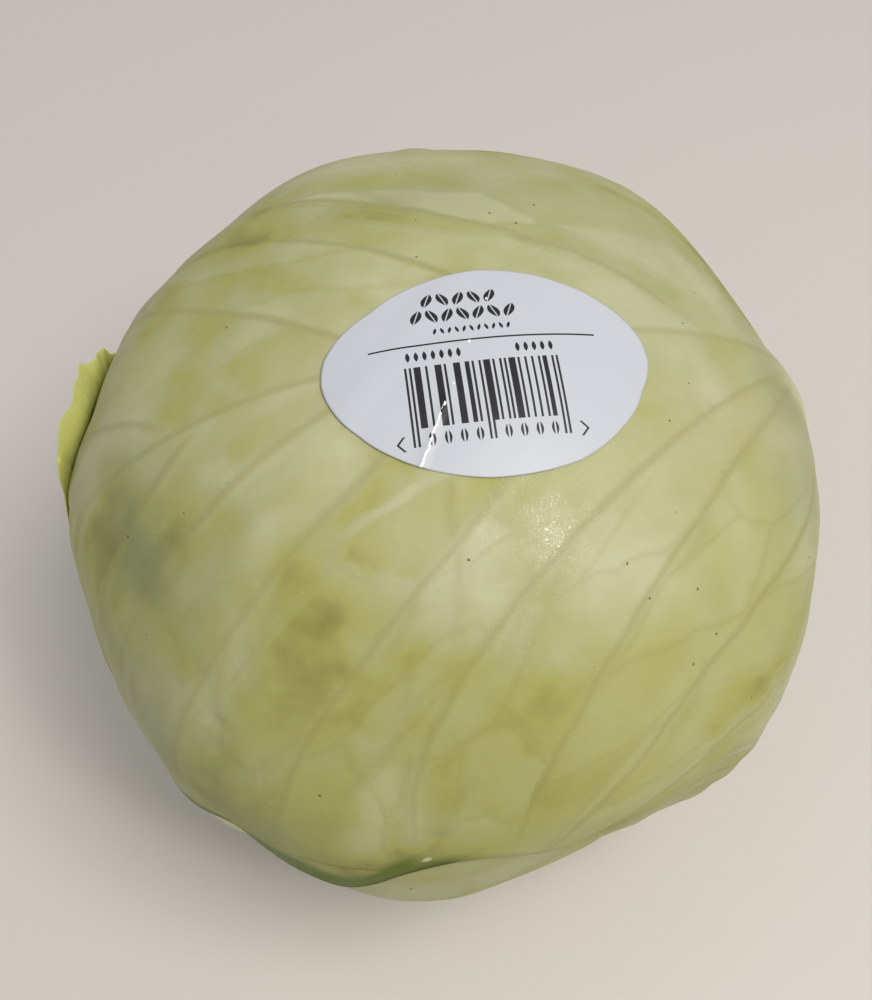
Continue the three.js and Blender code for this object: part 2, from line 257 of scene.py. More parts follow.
class CabbageLeaves(bpy.types.PropertyGroup):
    """What the leaves share."""

    thickness: bpy.props.FloatProperty(
        name="Blade thickness", description="A leaf's thickness away from its ribs",
        default=0.8 * MM, unit="LENGTH")
    pitch: bpy.props.FloatProperty(
        name="Layer pitch", description="From one leaf's face to the next one's, over the crown",
        default=1.0 * MM, unit="LENGTH")
    base_pitch: bpy.props.FloatProperty(
        name="Base pitch", description="The same beside the stem, where leaves are fleshy",
        default=2.6 * MM, unit="LENGTH")
    vein_height: bpy.props.FloatProperty(
        name="Vein height", description="How far a side vein stands out where it starts",
        default=0.24 * MM, unit="LENGTH")
    puff: bpy.props.FloatProperty(
        name="Puff", description="How far the blade swells between two side veins",
        default=0.4 * MM, unit="LENGTH")
    blade: bpy.props.FloatVectorProperty(
        name="Blade", description="The blade's main colour", subtype="COLOR",
        default=linear("#aeae7f"))
    # Pale also serves as painted light in a few of the crown leaf's patches.
    pale: bpy.props.FloatVectorProperty(
        name="Pale", description="Bloomed and bleached places", subtype="COLOR",
        default=linear("#bdbd99"))
    yellow: bpy.props.FloatVectorProperty(
        name="Yellow-green", description="Thin, sunlit places", subtype="COLOR",
        default=linear("#a6a560"))
    # Olive also darkens the crown leaf towards the bottom, partly as painted shade.
    olive: bpy.props.FloatVectorProperty(
        name="Olive", description="Bruised places", subtype="COLOR", default=linear("#878547"))
    green: bpy.props.FloatVectorProperty(
        name="Grey-green", description="Where more of the green is left", subtype="COLOR",
        default=linear("#868d6b"))
    vein: bpy.props.FloatVectorProperty(
        name="Vein", description="Side veins seen through the blade", subtype="COLOR",
        default=linear("#928c58"))
    tan: bpy.props.FloatVectorProperty(
        name="Tan", description="The blade stretched over the main rib", subtype="COLOR",
        default=linear("#b7b291"))
    rib: bpy.props.FloatVectorProperty(
        name="Rib", description="Fleshy ribs and leaf bases", subtype="COLOR",
        default=linear("#cdcdaa"))
    rim: bpy.props.FloatVectorProperty(
        name="Rim", description="The margin's dark edge", subtype="COLOR",
        default=linear("#5f6f24"))
    scar: bpy.props.FloatVectorProperty(
        name="Scar", description="A dry, torn place on the margin", subtype="COLOR",
        default=linear("#cdc6a2"))


class CabbageLabel(bpy.types.PropertyGroup):
    """The oval paper label."""

    azimuth: bpy.props.FloatProperty(
        name="Azimuth", description="Which way from the crown its middle lies",
        default=math.radians(-68), subtype="ANGLE")
    elevation: bpy.props.FloatProperty(
        name="Elevation", description="Its middle's height above the centre's level",
        default=math.radians(77), subtype="ANGLE")
    turn: bpy.props.FloatProperty(
        name="Turn", description="Its long axis, from +X towards +Y",
        default=math.radians(8), subtype="ANGLE")
    half_length: bpy.props.FloatProperty(
        name="Half length", description="Half its length", default=25.7 * MM, unit="LENGTH")
    half_width: bpy.props.FloatProperty(
        name="Half width", description="Half its width", default=17.5 * MM, unit="LENGTH")
    thickness: bpy.props.FloatProperty(
        name="Thickness", description="Paper and glue", default=0.14 * MM, unit="LENGTH")
    paper: bpy.props.FloatVectorProperty(
        name="Paper", description="Coated white paper", subtype="COLOR",
        default=linear("#bfc3ca"))
    ink: bpy.props.FloatVectorProperty(
        name="Ink", description="Black print", subtype="COLOR", default=linear("#1d1c20"))


class CabbageStage(bpy.types.PropertyGroup):
    """Floor, lights and camera."""

    floor: bpy.props.FloatVectorProperty(
        name="Floor", description="The pale surface", subtype="COLOR",
        default=linear("#d6d1cb"))
    key_power: bpy.props.FloatProperty(
        name="Key light", description="Power of the broad main light, in watts", default=4.0)
    glint_power: bpy.props.FloatProperty(
        name="Glint light", description="Power of the small light, in watts", default=1.1)
    fill_strength: bpy.props.FloatProperty(
        name="Fill", description="Strength of the even light all round", default=0.6)
    view_elevation: bpy.props.FloatProperty(
        name="View elevation", description="How steeply the camera looks down",
        default=math.radians(58), subtype="ANGLE")
    view_distance: bpy.props.FloatProperty(
        name="View distance", description="From the camera to the head's centre",
        default=247.5 * MM, unit="LENGTH")
    lens: bpy.props.FloatProperty(
        name="Lens", description="Focal length in millimetres", default=42.3)


# ------------------------------------------------------------------------- shapes on a ball


def smooth(low, high, values):
    """0 up to low, 1 from high, and an S-curve between."""
    t = np.clip((values - low) / (high - low), 0, 1)
    return t * t * (3 - 2 * t)


def way_at(azimuth, elevation):
    """The unit vector at an azimuth from +X towards +Y and an elevation, in degrees."""
    a, e = np.radians(azimuth), np.radians(elevation)
    return np.stack([np.cos(e) * np.cos(a), np.cos(e) * np.sin(a), np.sin(e)], -1)


def lumps(places, size, seed):
    """Smooth random lumps from -1 to 1, about one for each length of the given size: random
    heights on a cubic lattice, blended by an S-curve between its corners."""
    lattice = np.random.RandomState(seed).uniform(-1, 1, (32, 32, 32))
    cells = places / size
    low = np.floor(cells).astype(int)
    share = smooth(0, 1, cells - low)
    total = np.zeros(places.shape[:-1])
    for corner in product((0, 1), repeat=3):
        weight = np.where(corner, share, 1 - share).prod(-1)
        x, y, z = np.moveaxis((low + corner) % 32, -1, 0)
        total += weight * lattice[x, y, z]
    return total


class HeadForm:
    """The head over its outermost leaf, as a distance from its centre in each way.

    The full form is a superellipsoid. Each flat is a plane across it. The surface is the least
    of them all, with its edges softened by a log-sum of exponentials."""

    def __init__(self, settings):
        self.settings = settings
        self.centre = np.array([0, 0, settings.stub + settings.belly_depth])
        self.planes = []
        for azimuth, elevation, depth in FLATS:
            normal = way_at(azimuth, elevation)
            self.planes.append((normal, self.full(normal) - depth))

    def full(self, ways):
        s = self.settings
        height = np.where(ways[..., 2] > 0, s.crown_height, s.belly_depth)
        sizes = np.stack([np.full_like(height, s.half_width),
                          np.full_like(height, s.half_depth), height], -1)
        total = (np.abs(ways / sizes) ** s.fullness).sum(-1)
        return total ** (-1 / s.fullness)

    def radius(self, ways):
        full = self.full(ways)
        blend = self.settings.flat_blend
        total = np.ones_like(full)
        for normal, distance in self.planes:
            facing = ways @ normal
            near = facing > 0.5
            gap = full - distance / np.where(near, facing, 1)
            total += np.where(near, np.exp(np.where(near, gap, 0) / blend), 0)
        return full - blend * np.log(total)


def leaf_axes(azimuth, tilt):
    """Rows: the way to a leaf's tip, to its side, and out through its middle."""
    outward = way_at(azimuth, 90 - tilt)
    tipward = -way_at(azimuth, -tilt)
    return np.stack([tipward, np.cross(outward, tipward), outward])


def to_course(ways, course):
    """Distance from each way to a course of unit vectors, how far along the course from 0 to 1
    its nearest point lies, and the distance square to it, signed by the side of the course."""
    nearest = np.full(ways.shape[:-1], np.inf)
    along = np.zeros(ways.shape[:-1])
    square = np.zeros(ways.shape[:-1])
    last = len(course) - 1
    for i in range(last):
        step = course[i + 1] - course[i]
        offset = ways - course[i]
        share = np.clip(offset @ step / (step @ step), 0, 1)
        distance = np.linalg.norm(offset - share[..., None] * step, axis=-1)
        closer = distance < nearest
        nearest = np.where(closer, distance, nearest)
        along = np.where(closer, (i + share) / last, along)
        aside = np.cross(course[i], step)
        square = np.where(closer, offset @ (aside / np.linalg.norm(aside)), square)
    return nearest * MEAN_RADIUS, along, square * MEAN_RADIUS


class Leaf:
    """One leaf: its place on the head, its outline, and the courses of its rib and veins."""

    def __init__(self, node, azimuth, layer, outline, rib, veins, seed, tilt=0,
                 stem_end=STEM_END, swing=0.0, lift=0.0, rib_scale=1.0, relief=1.0, ragged=0.0,
                 patches=None, loops=(), dents=()):
        self.node = node
        self.layer = layer
        self.seed = seed
        self.axes = leaf_axes(azimuth, tilt)
        self.stem_end = stem_end
        self.lift = lift
        self.rib_scale = rib_scale
        self.relief = relief
        self.patches = patches or {}
        self.dents = dents
        bearings, reaches = np.array(outline, float).T
        reaches = reaches + swing * np.sin(np.radians(3 * bearings) + 2 * layer)
        self.bearing_table, self.reach_table = self.even_outline(bearings, reaches)
        self.reach_table = self.reach_table + ragged * self.tears()
        self.rib_points = np.array(rib, float)
        course = np.linspace(self.rib_points[0, 0], self.rib_points[-1, 0], 25)
        self.rib = self.place(course, self.rib_across(course))
        self.sides = {1: [], -1: []}
        self.twigs = [self.place(*np.array(loop, float).T) for loop in loops]
        chance = np.random.RandomState(seed)
        for start, heading, last_heading, length in veins:
            self.grow(start, heading, last_heading, length, chance)

    def even_outline(self, bearings, reaches):
        """The outline at each degree: a cubic Hermite curve through its points, with slopes from
        the points on both sides, which ends at the stem."""
        under = [self.stem_end + 4] * 3
        bearings = np.concatenate([[-205, -180, -158], bearings, [158, 180, 205]])
        reaches = np.concatenate([under, reaches, under])
        table = np.arange(-180, 181)
        i = np.clip(np.searchsorted(bearings, table, "right") - 1, 1, len(bearings) - 3)
        width = bearings[i + 1] - bearings[i]
        t = (table - bearings[i]) / width
        before = (reaches[i + 1] - reaches[i - 1]) / (bearings[i + 1] - bearings[i - 1]) * width
        after = (reaches[i + 2] - reaches[i]) / (bearings[i + 2] - bearings[i]) * width
        curve = ((2 * t**3 - 3 * t**2 + 1) * reaches[i] + (t**3 - 2 * t**2 + t) * before
                 + (3 * t**2 - 2 * t**3) * reaches[i + 1] + (t**3 - t**2) * after)
        return table, np.minimum(curve, self.stem_end)

    def tears(self):
        """Chance teeth along the outline, a degree wide on others of five, which leave out the
        part beside the stem."""
        table = self.bearing_table
        fine, wide = np.random.RandomState(self.seed).uniform(-1, 1, (2, len(table)))
        teeth = 0.5 * fine + np.interp(table, table[::5], wide[::5])
        return teeth * (1 - smooth(100, 130, np.abs(table)))

    def reach(self, bearing):
        return np.interp(bearing, self.bearing_table, self.reach_table)

    def polar(self, ways):
        """Bearing round the leaf's middle and angle from it, in degrees."""
        x, y, z = np.moveaxis(ways @ self.axes.T, -1, 0)
        return np.degrees(np.arctan2(y, x)), np.degrees(np.arccos(np.clip(z, -1, 1)))

    def inset(self, ways):
        """How far inside the outline each way lies; negative outside."""
        bearing, angle = self.polar(ways)
        return np.radians(self.reach(bearing) - angle) * MEAN_RADIUS

    def place(self, along, across):
        """The ways at places along and across the leaf."""
        a, b = np.radians(along), np.radians(across)
        local = np.stack([np.sin(a) * np.cos(b), np.sin(b), np.cos(a) * np.cos(b)], -1)
        return local @ self.axes

    def along_across(self, ways):
        """Where each way lies along the rib and across the leaf, in degrees."""
        x, y, z = np.moveaxis(ways @ self.axes.T, -1, 0)
        return np.degrees(np.arctan2(x, z)), np.degrees(np.arcsin(np.clip(y, -1, 1)))

    def rib_across(self, along):
        return np.interp(along, self.rib_points[:, 0], self.rib_points[:, 1])

    def grow(self, start, heading, last_heading, length, chance):
        """A side vein turns evenly from one heading to the other as it grows. It forks at
        places near the usual ones on its way to the margin."""
        side = 1 if heading > 0 else -1
        along, across = self.course(start, self.rib_across(start), heading, last_heading, length)
        self.sides[side].append(self.place(along, across))
        for usual, bend, part in FORKS:
            i = round((usual + chance.uniform(-0.07, 0.07)) * (len(along) - 1))
            there = heading + usual * (last_heading - heading) + side * bend
            far = part * length * chance.uniform(0.7, 1.2)
            fork = self.course(along[i], across[i], there, there - side * bend, far, 4)
            self.twigs.append(self.place(*fork))

    @staticmethod
    def course(along, across, heading, last_heading, length, steps=12):
        """Adds up even steps on the ball: across by the sine of the heading, along by its cosine
        over the cosine of the place across."""
        turn = np.radians(np.linspace(heading, last_heading, steps))
        step = length / steps
        across = across + np.concatenate([[0], np.cumsum(step * np.sin(turn))])
        across = np.clip(across, -86, 86)
        stretch = np.cos(np.radians(across[:-1]))
        along = along + np.concatenate([[0], np.cumsum(step * np.cos(turn) / stretch)])
        return along, across

    def rib_profile(self, ways):
        """The rib's height, its nearness from 0 at its foot to 1 on its middle, the signed
        distance from it, and how fleshy it is. The rib dwindles from the stem to the tip."""
        distance, share, square = to_course(ways, self.rib)
        height = np.interp(share, [0, 0.15, 0.3, 0.45, 0.6, 1], [3.0, 2.8, 1.8, 0.7, 0.15, 0.05])
        half_width = np.interp(share, [0, 0.2, 0.42, 0.6, 1], [13, 11, 7.5, 4, 1.5])
        half_width = half_width * MM * self.rib_scale
        near = np.clip(1 - (distance / half_width) ** 2, 0, 1)
        return height * MM * self.rib_scale, near, square, 1 - smooth(0.33, 0.5, share)

    def bulge(self, ways):
        """How far the rib stands out: a rounded ridge, the square of its nearness."""
        height, near, _, _ = self.rib_profile(ways)
        return height * near**2

    def veins(self, ways, from_rib):
        """What lies where among the veins. pane counts the side veins from the stem: a whole
        number on a vein, and between two veins the share of the way to the next. gap is the
        distance between those two, strength that of the nearest side vein, twig the mark of
        the smaller veins, exp(-d^2) of the scaled distance, and ridge the height of any."""
        shape = ways.shape[:-1]
        pane, gap, strength = np.zeros(shape), np.full(shape, OUTER_PANE), np.zeros(shape)
        ridge = np.zeros(shape)
        for side, courses in self.sides.items():
            here = side * from_rib > 0
            past = []
            nearest = np.full(shape, np.inf)
            for course in courses:
                distance, share, square = to_course(ways, course)
                past.append(-side * square)
                fade = (1 - 0.35 * share) * smooth(0, 0.12, share) * (1 - smooth(0.85, 1, share))
                strength = np.where(here & (distance < nearest), fade, strength)
                nearest = np.minimum(nearest, distance)
                ridge = np.maximum(ridge, fade * np.exp(-(distance / RIDGE_WIDTH) ** 2) * here)
            past = np.array(past)
            between = np.maximum(past[:-1] - past[1:], NARROWEST_PANE)
            count = np.clip(past[:-1] / between, 0, 1).sum(0)
            index = np.clip(count.astype(int), 0, len(between) - 1)
            this_gap = np.take_along_axis(between, index[None], 0)[0]
            before, after = past[0] < 0, past[-1] > 0
            count = count + (np.minimum(past[0], 0) + np.maximum(past[-1], 0)) / OUTER_PANE
            this_gap = np.where(before | after, OUTER_PANE, this_gap)
            strength = np.where(here, strength * (1 - smooth(2 * MM, 5 * MM, nearest)), strength)
            pane = np.where(here, count + (FAR_SIDE if side < 0 else 0), pane)
            gap = np.where(here, this_gap, gap)
        twig = np.zeros(shape)
        for course in self.twigs:
            distance, share, _ = to_course(ways, course)
            fade = 1 - smooth(0.5, 1, share)
            twig = np.maximum(twig, fade * np.exp(-(distance / TWIG_WIDTH) ** 2))
        ridge = np.maximum(ridge, 0.4 * twig)
        marks = {"pane": pane, "gap": gap / MM, "strength": strength, "twig": twig}
        return marks, ridge

    def patch(self, kind, ways):
        """Soft patches of one kind, added up within a least and a most: ovals of exp(-d^2) of
        the scaled distance d from their middles, with their outlines pushed about by lumps."""
        along, across = self.along_across(ways)
        along = along + 1.5 * lumps(ways, 0.14, 51) + 1.5 * lumps(ways, 0.05, 52)
        across = across + 1.5 * lumps(ways, 0.14, 53) + 1.5 * lumps(ways, 0.05, 54)
        total = np.zeros(ways.shape[:-1])
        for there, aside, length, width, turn, strength in self.patches.get(kind, ()):
            c, s = math.cos(math.radians(turn)), math.sin(math.radians(turn))
            dx = (along - there) * np.cos(np.radians(across))
            dy = across - aside
            scaled = ((dx * c + dy * s) / length) ** 2 + ((dy * c - dx * s) / width) ** 2
            total += strength * np.exp(-np.minimum(scaled, 9))
        return np.clip(total, 0, 2.2)


# ------------------------------------------------------------------------------- meshes


def make_piece(name, places, quads, triangles, attributes):
    """A smooth-shaded mesh object at the origin, with one float attribute for each name."""
    mesh = bpy.data.meshes.new(name)
    mesh.vertices.add(len(places))
    mesh.vertices.foreach_set("co", places.astype(np.float32).ravel())
    corners = np.concatenate([quads.ravel(), triangles.ravel()]).astype(np.int32)
    starts = np.concatenate([
        np.arange(len(quads)) * 4,
        len(quads) * 4 + np.arange(len(triangles)) * 3]).astype(np.int32)
    mesh.loops.add(len(corners))
    mesh.loops.foreach_set("vertex_index", corners)
    mesh.polygons.add(len(starts))
    mesh.polygons.foreach_set("loop_start", starts)
    mesh.polygons.foreach_set("use_smooth", np.ones(len(starts), bool))
    mesh.update(calc_edges=True)
    for key, values in attributes.items():
        layer = mesh.attributes.new(key, "FLOAT", "POINT")
        layer.data.foreach_set("value", values.astype(np.float32).ravel())
    piece = bpy.data.objects.new(name, mesh)
    bpy.context.scene.collection.objects.link(piece)
    return piece


def capped_shell(name, rings, attributes):
    """A closed mesh from rings of points of shape (rings, count, 3), which turn anticlockwise
    seen from outside as they leave the first: quads between neighbouring rings, and a fan that
    closes each end ring to its mean."""
    number, count = rings.shape[:2]
    row = np.arange(number - 1)[:, None] * count
    here = np.arange(count)
    after = (here + 1) % count
    quads = np.stack([row + here, row + count + here, row + count + after, row + after], -1)
    last = (number - 1) * count
    first_fan = np.stack([np.full(count, number * count), here, after], -1)
    last_fan = np.stack([np.full(count, number * count + 1), last + after, last + here], -1)
    places = np.concatenate([rings.reshape(-1, 3), [rings[0].mean(0), rings[-1].mean(0)]])
    capped = {
        key: np.concatenate([values.ravel(), [values[0].mean(), values[-1].mean()]])
        for key, values in attributes.items()
    }
    triangles = np.concatenate([first_fan, last_fan])
    return make_piece(name, places, quads.reshape(-1, 4), triangles, capped)


class Head:
    """The head's form with its leaves on it, from the crown leaf inwards."""

    def __init__(self, scene):
        self.form = HeadForm(scene.cabbage_head)
        self.settings = scene.cabbage_leaves
        self.centre = self.form.centre
        self.stack = [Leaf("crown_leaf", CROWN_RIB_AZIMUTH, 0, CROWN_OUTLINE, CROWN_RIB,
                           CROWN_VEINS, seed=11, patches=CROWN_PATCHES,
                           loops=CROWN_LOOPS, dents=CROWN_DENTS)]
        for layer in range(1, WRAPPERS + 1):
            azimuth = CROWN_RIB_AZIMUTH - layer * GOLDEN_ANGLE
            self.stack.append(Leaf(f"wrapper_leaf_{layer}", azimuth, layer, WRAPPER_OUTLINE,
                                   WRAPPER_RIB, WRAPPER_VEINS, seed=20 + layer, swing=2.2))
        self.torn = Leaf("torn_leaf", 170, -1, TORN_OUTLINE, TORN_RIB, TORN_VEINS, seed=31,
                         tilt=100, stem_end=65, lift=3.5 * MM, relief=2.2, ragged=0.9)

    def pitch(self, ways):
        """From one layer to the next: thin over the crown, fleshy beside the stem."""
        s = self.settings
        return s.pitch + (s.base_pitch - s.pitch) * smooth(0.2, 0.95, -ways[..., 2])

    def ground(self, ways, layer):
        """The outer face of a layer without its own ribs: the head's form, less the pitch of
        each leaf outside it, which fades out past that leaf's margin, and raised over the
        highest rib inside it, which shows less through each layer."""
        radius = self.form.radius(ways)
        pitch = self.pitch(ways)
        for outer in self.stack[:max(layer, 0)]:
            radius = radius - pitch * smooth(-24 * MM, 0.5 * MM, outer.inset(ways))
        ridge = np.zeros(ways.shape[:-1])
        for inner in self.stack[layer + 1:]:
            ridge = np.maximum(ridge, inner.bulge(ways) - 0.2 * MM * (inner.layer - layer - 1))
        if layer < 0:
            radius = radius + pitch
        return radius + ridge + lumps(ways, 0.5, 5) * 0.55 * MM

    def stand_off(self, leaf, ways, inset):
        """How far a margin stands off: small waves along every rim, which die away inwards, and
        on a lifted leaf a broad flare on the head's upper half with deep ruffles on its rim."""
        turn = np.radians(leaf.polar(ways)[0])
        wave = 0.5 + 0.5 * np.sin(9 * turn + leaf.seed) * np.sin(4 * turn + 2 * leaf.seed)
        rise = 0.5 * MM * wave**2 * (1 - smooth(0, 7 * MM, inset))
        if leaf.lift:
            flare = 0.1 * leaf.lift * (1 - smooth(0, 24 * MM, inset))
            flare = flare + leaf.lift * np.clip(1 - inset / (8 * MM), 0, 1) ** 2
            ruffle = np.sin(31 * turn) * np.sin(7 * turn + 1) + 0.6 * np.sin(19 * turn + 2)
            ruffle = 0.7 * MM * ruffle * (1 - smooth(0, 7 * MM, inset))
            beside = np.abs(np.degrees(turn) - TORN_FLARE)
            flare = (flare + ruffle) * (1 - smooth(9, 30, beside))
            rise = rise + flare * smooth(0, 0.35, ways[..., 2])
        return rise

    def outer_face(self, leaf, ways):
        """A leaf's outer radius, and what its finish reads about each place."""
        rib_height, near, from_rib, fleshy = leaf.rib_profile(ways)
        marks, ridge = leaf.veins(ways, from_rib)
        rib = smooth(0, 0.8, near) * fleshy
        inset = leaf.inset(ways)
        away = smooth(2 * MM, 14 * MM, np.abs(from_rib))
        open_pane = smooth(1, 7, marks["gap"]) * smooth(0, 14 * MM, inset)
        puff = self.settings.puff * np.sin(math.pi * marks["pane"]) ** 2 * away * open_pane
        radius = self.ground(ways, leaf.layer) + self.stand_off(leaf, ways, inset)
        radius = radius + lumps(ways, 0.13, leaf.seed) * 0.14 * MM + rib_height * near**2
        ridge = self.settings.vein_height * ridge * (1 - rib)
        radius = radius + leaf.relief * (puff + ridge)
        for along, across, size, depth in leaf.dents:
            distance = np.linalg.norm(ways - leaf.place(along, across), axis=-1) * MEAN_RADIUS
            radius = radius - depth * np.exp(-(distance / size) ** 2)
        radius = self.off_floor(ways, radius)
        marks.update({
            "rib": rib, "from_rib": from_rib / MM, "inset": inset / MM,
            "base": smooth(0.25, 0.95, -ways[..., 2]),
        })
        for kind in CROWN_PATCHES:
            marks[kind] = leaf.patch(kind, ways)
        return radius, marks

    def off_floor(self, ways, radius):
        """The radius, held in where it would come nearer the floor than a blade's thickness."""
        down = np.maximum(-ways[..., 2], 0.01)
        most = (self.centre[2] - self.settings.thickness) / down
        blend = 1 * MM
        return -blend * np.logaddexp(-radius / blend, -most / blend)

    def inner_face(self, leaf, ways):
        inset = leaf.inset(ways)
        radius = self.ground(ways, leaf.layer) + self.stand_off(leaf, ways, inset)
        radius = self.off_floor(ways, radius)
        return radius - self.settings.thickness * (0.3 + 0.7 * smooth(0, 6 * MM, inset))

    def blade(self, leaf, bearings, shares, inner_rings=14):
        """A closed thin shell, with rings out from its middle at shares of the leaf's reach,
        round its narrow rim, and back in along the inner face."""
        bearing = np.linspace(-180, 180, bearings, endpoint=False)
        reach = np.radians(leaf.reach(bearing))
        turn = np.radians(bearing)
        rim_share = 1 + 0.0015
        back = np.linspace(1, shares[0], inner_rings)
        angle = np.concatenate([shares, [rim_share], back])[:, None] * reach
        local = np.stack([np.sin(angle) * np.cos(turn), np.sin(angle) * np.sin(turn),
                          np.cos(angle)], -1)
        ways = local @ leaf.axes
        front = len(shares)
        outer, marks = self.outer_face(leaf, ways[:front])
        inner = self.inner_face(leaf, ways[front + 1:])
        edge = (outer[-1:] + inner[:1]) / 2
        radius = np.concatenate([outer, edge, inner])
        for key, values in marks.items():
            folded = np.broadcast_to(values[-1:], (inner_rings + 1, bearings))
            marks[key] = np.concatenate([values, folded])
        rings = self.centre + ways * radius[..., None]
        return capped_shell(leaf.node + "_blade", rings, marks)


def fine_shares(rings, start=0.01):
    """Even ring places from the leaf's middle to its margin."""
    return np.linspace(start, 1, rings)


def hidden_shares(coarse, fine, cover):
    """Ring places for a leaf whose top lies under other leaves: few up to the cover's share of
    its reach, and the rest close together beyond it."""
    top = np.linspace(0.02, cover, coarse, endpoint=False)
    return np.concatenate([top, np.linspace(cover, 1, fine)])


# ------------------------------------------------------------------------------- finishes


def add(tree, kind, inputs=None, out=0, stops=None, **settings):
    """Adds a node with its settings, sets or links its inputs, and returns one output, if any."""
    node = tree.nodes.new("ShaderNode" + kind)
    for key, value in settings.items():
        setattr(node, key, value)
    for key, value in (inputs or {}).items():
        if isinstance(value, bpy.types.NodeSocket):
            tree.links.new(value, node.inputs[key])
        else:
            node.inputs[key].default_value = value
    if stops:
        ramp = node.color_ramp.elements
        for _ in stops[2:]:
            ramp.new(0.5)
        for element, (position, colour) in zip(ramp, stops):
            element.position = position
            element.color = colour
    return node.outputs[out] if node.outputs else None


def new_finish(name):
    """An empty material and its node tree."""
    finish = bpy.data.materials.new(name)
    finish.use_nodes = True
    finish.node_tree.nodes.clear()
    return finish, finish.node_tree


def opaque(colour):
    return (*colour, 1)


def cabbage_leaf_finish(name, s, seed, patchiness, vein_share, rim_share=0.2, cast=None,
                        cast_share=0.0, glow=0.12):
    """Fresh cabbage leaf: thin wet tissue under a thin wax bloom. The eye gets soft yellow-green
    and olive blotches that stop at the veins, dull veins, a pale fleshy base, and a broken,
    grainy shine from the wax."""
    finish, tree = new_finish(name)
    place = add(tree, "Mapping", {
        "Vector": add(tree, "TexCoord", out="Object"), "Location": (0.31 * seed, 0.17 * seed, 0),
    })
    marks = {
        key: add(tree, "Attribute", out="Fac", attribute_name=key)
        for key in ("pane", "gap", "strength", "twig", "rib", "from_rib", "inset", "base",
                    *CROWN_PATCHES)
    }

    # Blotches 26 mm and 9 mm across.
    broad = add(tree, "TexNoise", {"Vector": place, "Scale": 1 / (26 * MM), "Detail": 2.0})
    small = add(tree, "TexNoise", {"Vector": place, "Scale": 1 / (9 * MM), "Detail": 3.0})

    # The distance from the nearest side vein: from a whole pane number, times the panes' gap.
    pane = add(tree, "Math", {0: small, 1: 0.06, 2: marks["pane"]}, operation="MULTIPLY_ADD")
    number = add(tree, "Math", {0: pane}, operation="FLOOR")
    off = add(tree, "Math", {0: pane, 1: 0.5}, operation="PINGPONG")
    off = add(tree, "Math", {0: off, 1: marks["gap"]}, operation="MULTIPLY")
    out_along = add(tree, "Math", {0: marks["from_rib"]}, operation="ABSOLUTE")

    # Small cross veins cut each pane into windows about 13 mm wide, each with its own tone.
    inside = add(tree, "Math", {0: pane, 1: number}, operation="SUBTRACT")
    inside = add(tree, "Math", {0: inside, 1: marks["gap"]}, operation="MULTIPLY")
    inside = add(tree, "Math", {0: inside, 1: 13.0}, operation="DIVIDE")
    window_x = add(tree, "Math", {0: number, 1: 7.3, 2: inside}, operation="MULTIPLY_ADD")
    window_y = add(tree, "Math", {0: out_along, 1: 13.0}, operation="DIVIDE")
    window_y = add(tree, "Math", {0: small, 1: 0.5, 2: window_y}, operation="MULTIPLY_ADD")
    window_at = add(tree, "CombineXYZ", {0: window_x, 1: window_y, 2: 0.0})
    window = add(tree, "TexVoronoi", {"Vector": window_at, "Scale": 1.0}, out="Color",
                 voronoi_dimensions="2D")
    window = add(tree, "SeparateColor", {0: window})
    edge = add(tree, "TexVoronoi", {"Vector": window_at, "Scale": 1.0},
               voronoi_dimensions="2D", feature="DISTANCE_TO_EDGE")
    soft = add(tree, "MapRange", {0: edge, 1: 0.0, 2: 0.14, 3: 0.0, 4: 1.0},
               interpolation_type="SMOOTHSTEP")
    beside = add(tree, "MapRange", {0: off, 1: 0.0, 2: 1.6, 3: 0.0, 4: 1.0},
                 interpolation_type="SMOOTHSTEP")
    soft = add(tree, "Math", {0: soft, 1: beside}, operation="MULTIPLY")
    within = add(tree, "MapRange", {0: marks["inset"], 1: 2.0, 2: 10.0, 3: 0.0, 4: 1.0})
    soft = add(tree, "Math", {0: soft, 1: within}, operation="MULTIPLY")
    window = add(tree, "Math", {0: window, 1: 0.5}, operation="SUBTRACT")
    window = add(tree, "Math", {0: window, 1: soft}, operation="MULTIPLY")

    tone = add(tree, "Math", {0: broad, 1: 0.5, 2: -0.35}, operation="MULTIPLY_ADD")
    tone = add(tree, "Math", {0: small, 1: 0.2, 2: tone}, operation="MULTIPLY_ADD")
    tone = add(tree, "Math", {0: window, 1: 0.13, 2: tone}, operation="MULTIPLY_ADD")
    tone = add(tree, "Math", {0: tone, 1: patchiness, 2: 0.5}, operation="MULTIPLY_ADD")
    more = add(tree, "Math", {0: window, 1: 1.1, 2: 1.0}, operation="MULTIPLY_ADD")
    less = add(tree, "Math", {0: 2.0, 1: more}, operation="SUBTRACT")
    # Pale patches lighten the tone; a few of them are painted light.
    pale = add(tree, "Math", {0: marks["pale"], 1: more}, operation="MULTIPLY")
    # Olive patches darken the tone; low on the leaf this is partly painted shade.
    olive = add(tree, "Math", {0: marks["olive"], 1: less}, operation="MULTIPLY")
    tone = add(tree, "Math", {0: pale, 1: 0.09, 2: tone}, operation="MULTIPLY_ADD")
    tone = add(tree, "Math", {0: olive, 1: -0.10, 2: tone}, operation="MULTIPLY_ADD")
    colour = add(tree, "ValToRGB", {0: tone}, stops=[
        (0.25, opaque(linear("#6c6b32"))), (0.35, opaque(s.olive)), (0.43, opaque(s.yellow)),
        (0.52, opaque(s.blade)), (0.64, opaque(s.pale))])
    for key, share in (("yellow", 0.6), ("green", 0.65), ("tan", 0.6)):
        part = add(tree, "Math", {0: marks[key], 1: share}, operation="MULTIPLY")
        colour = add(tree, "Mix", {0: part, 6: colour, 7: opaque(getattr(s, key))}, out=2,
                     data_type="RGBA")

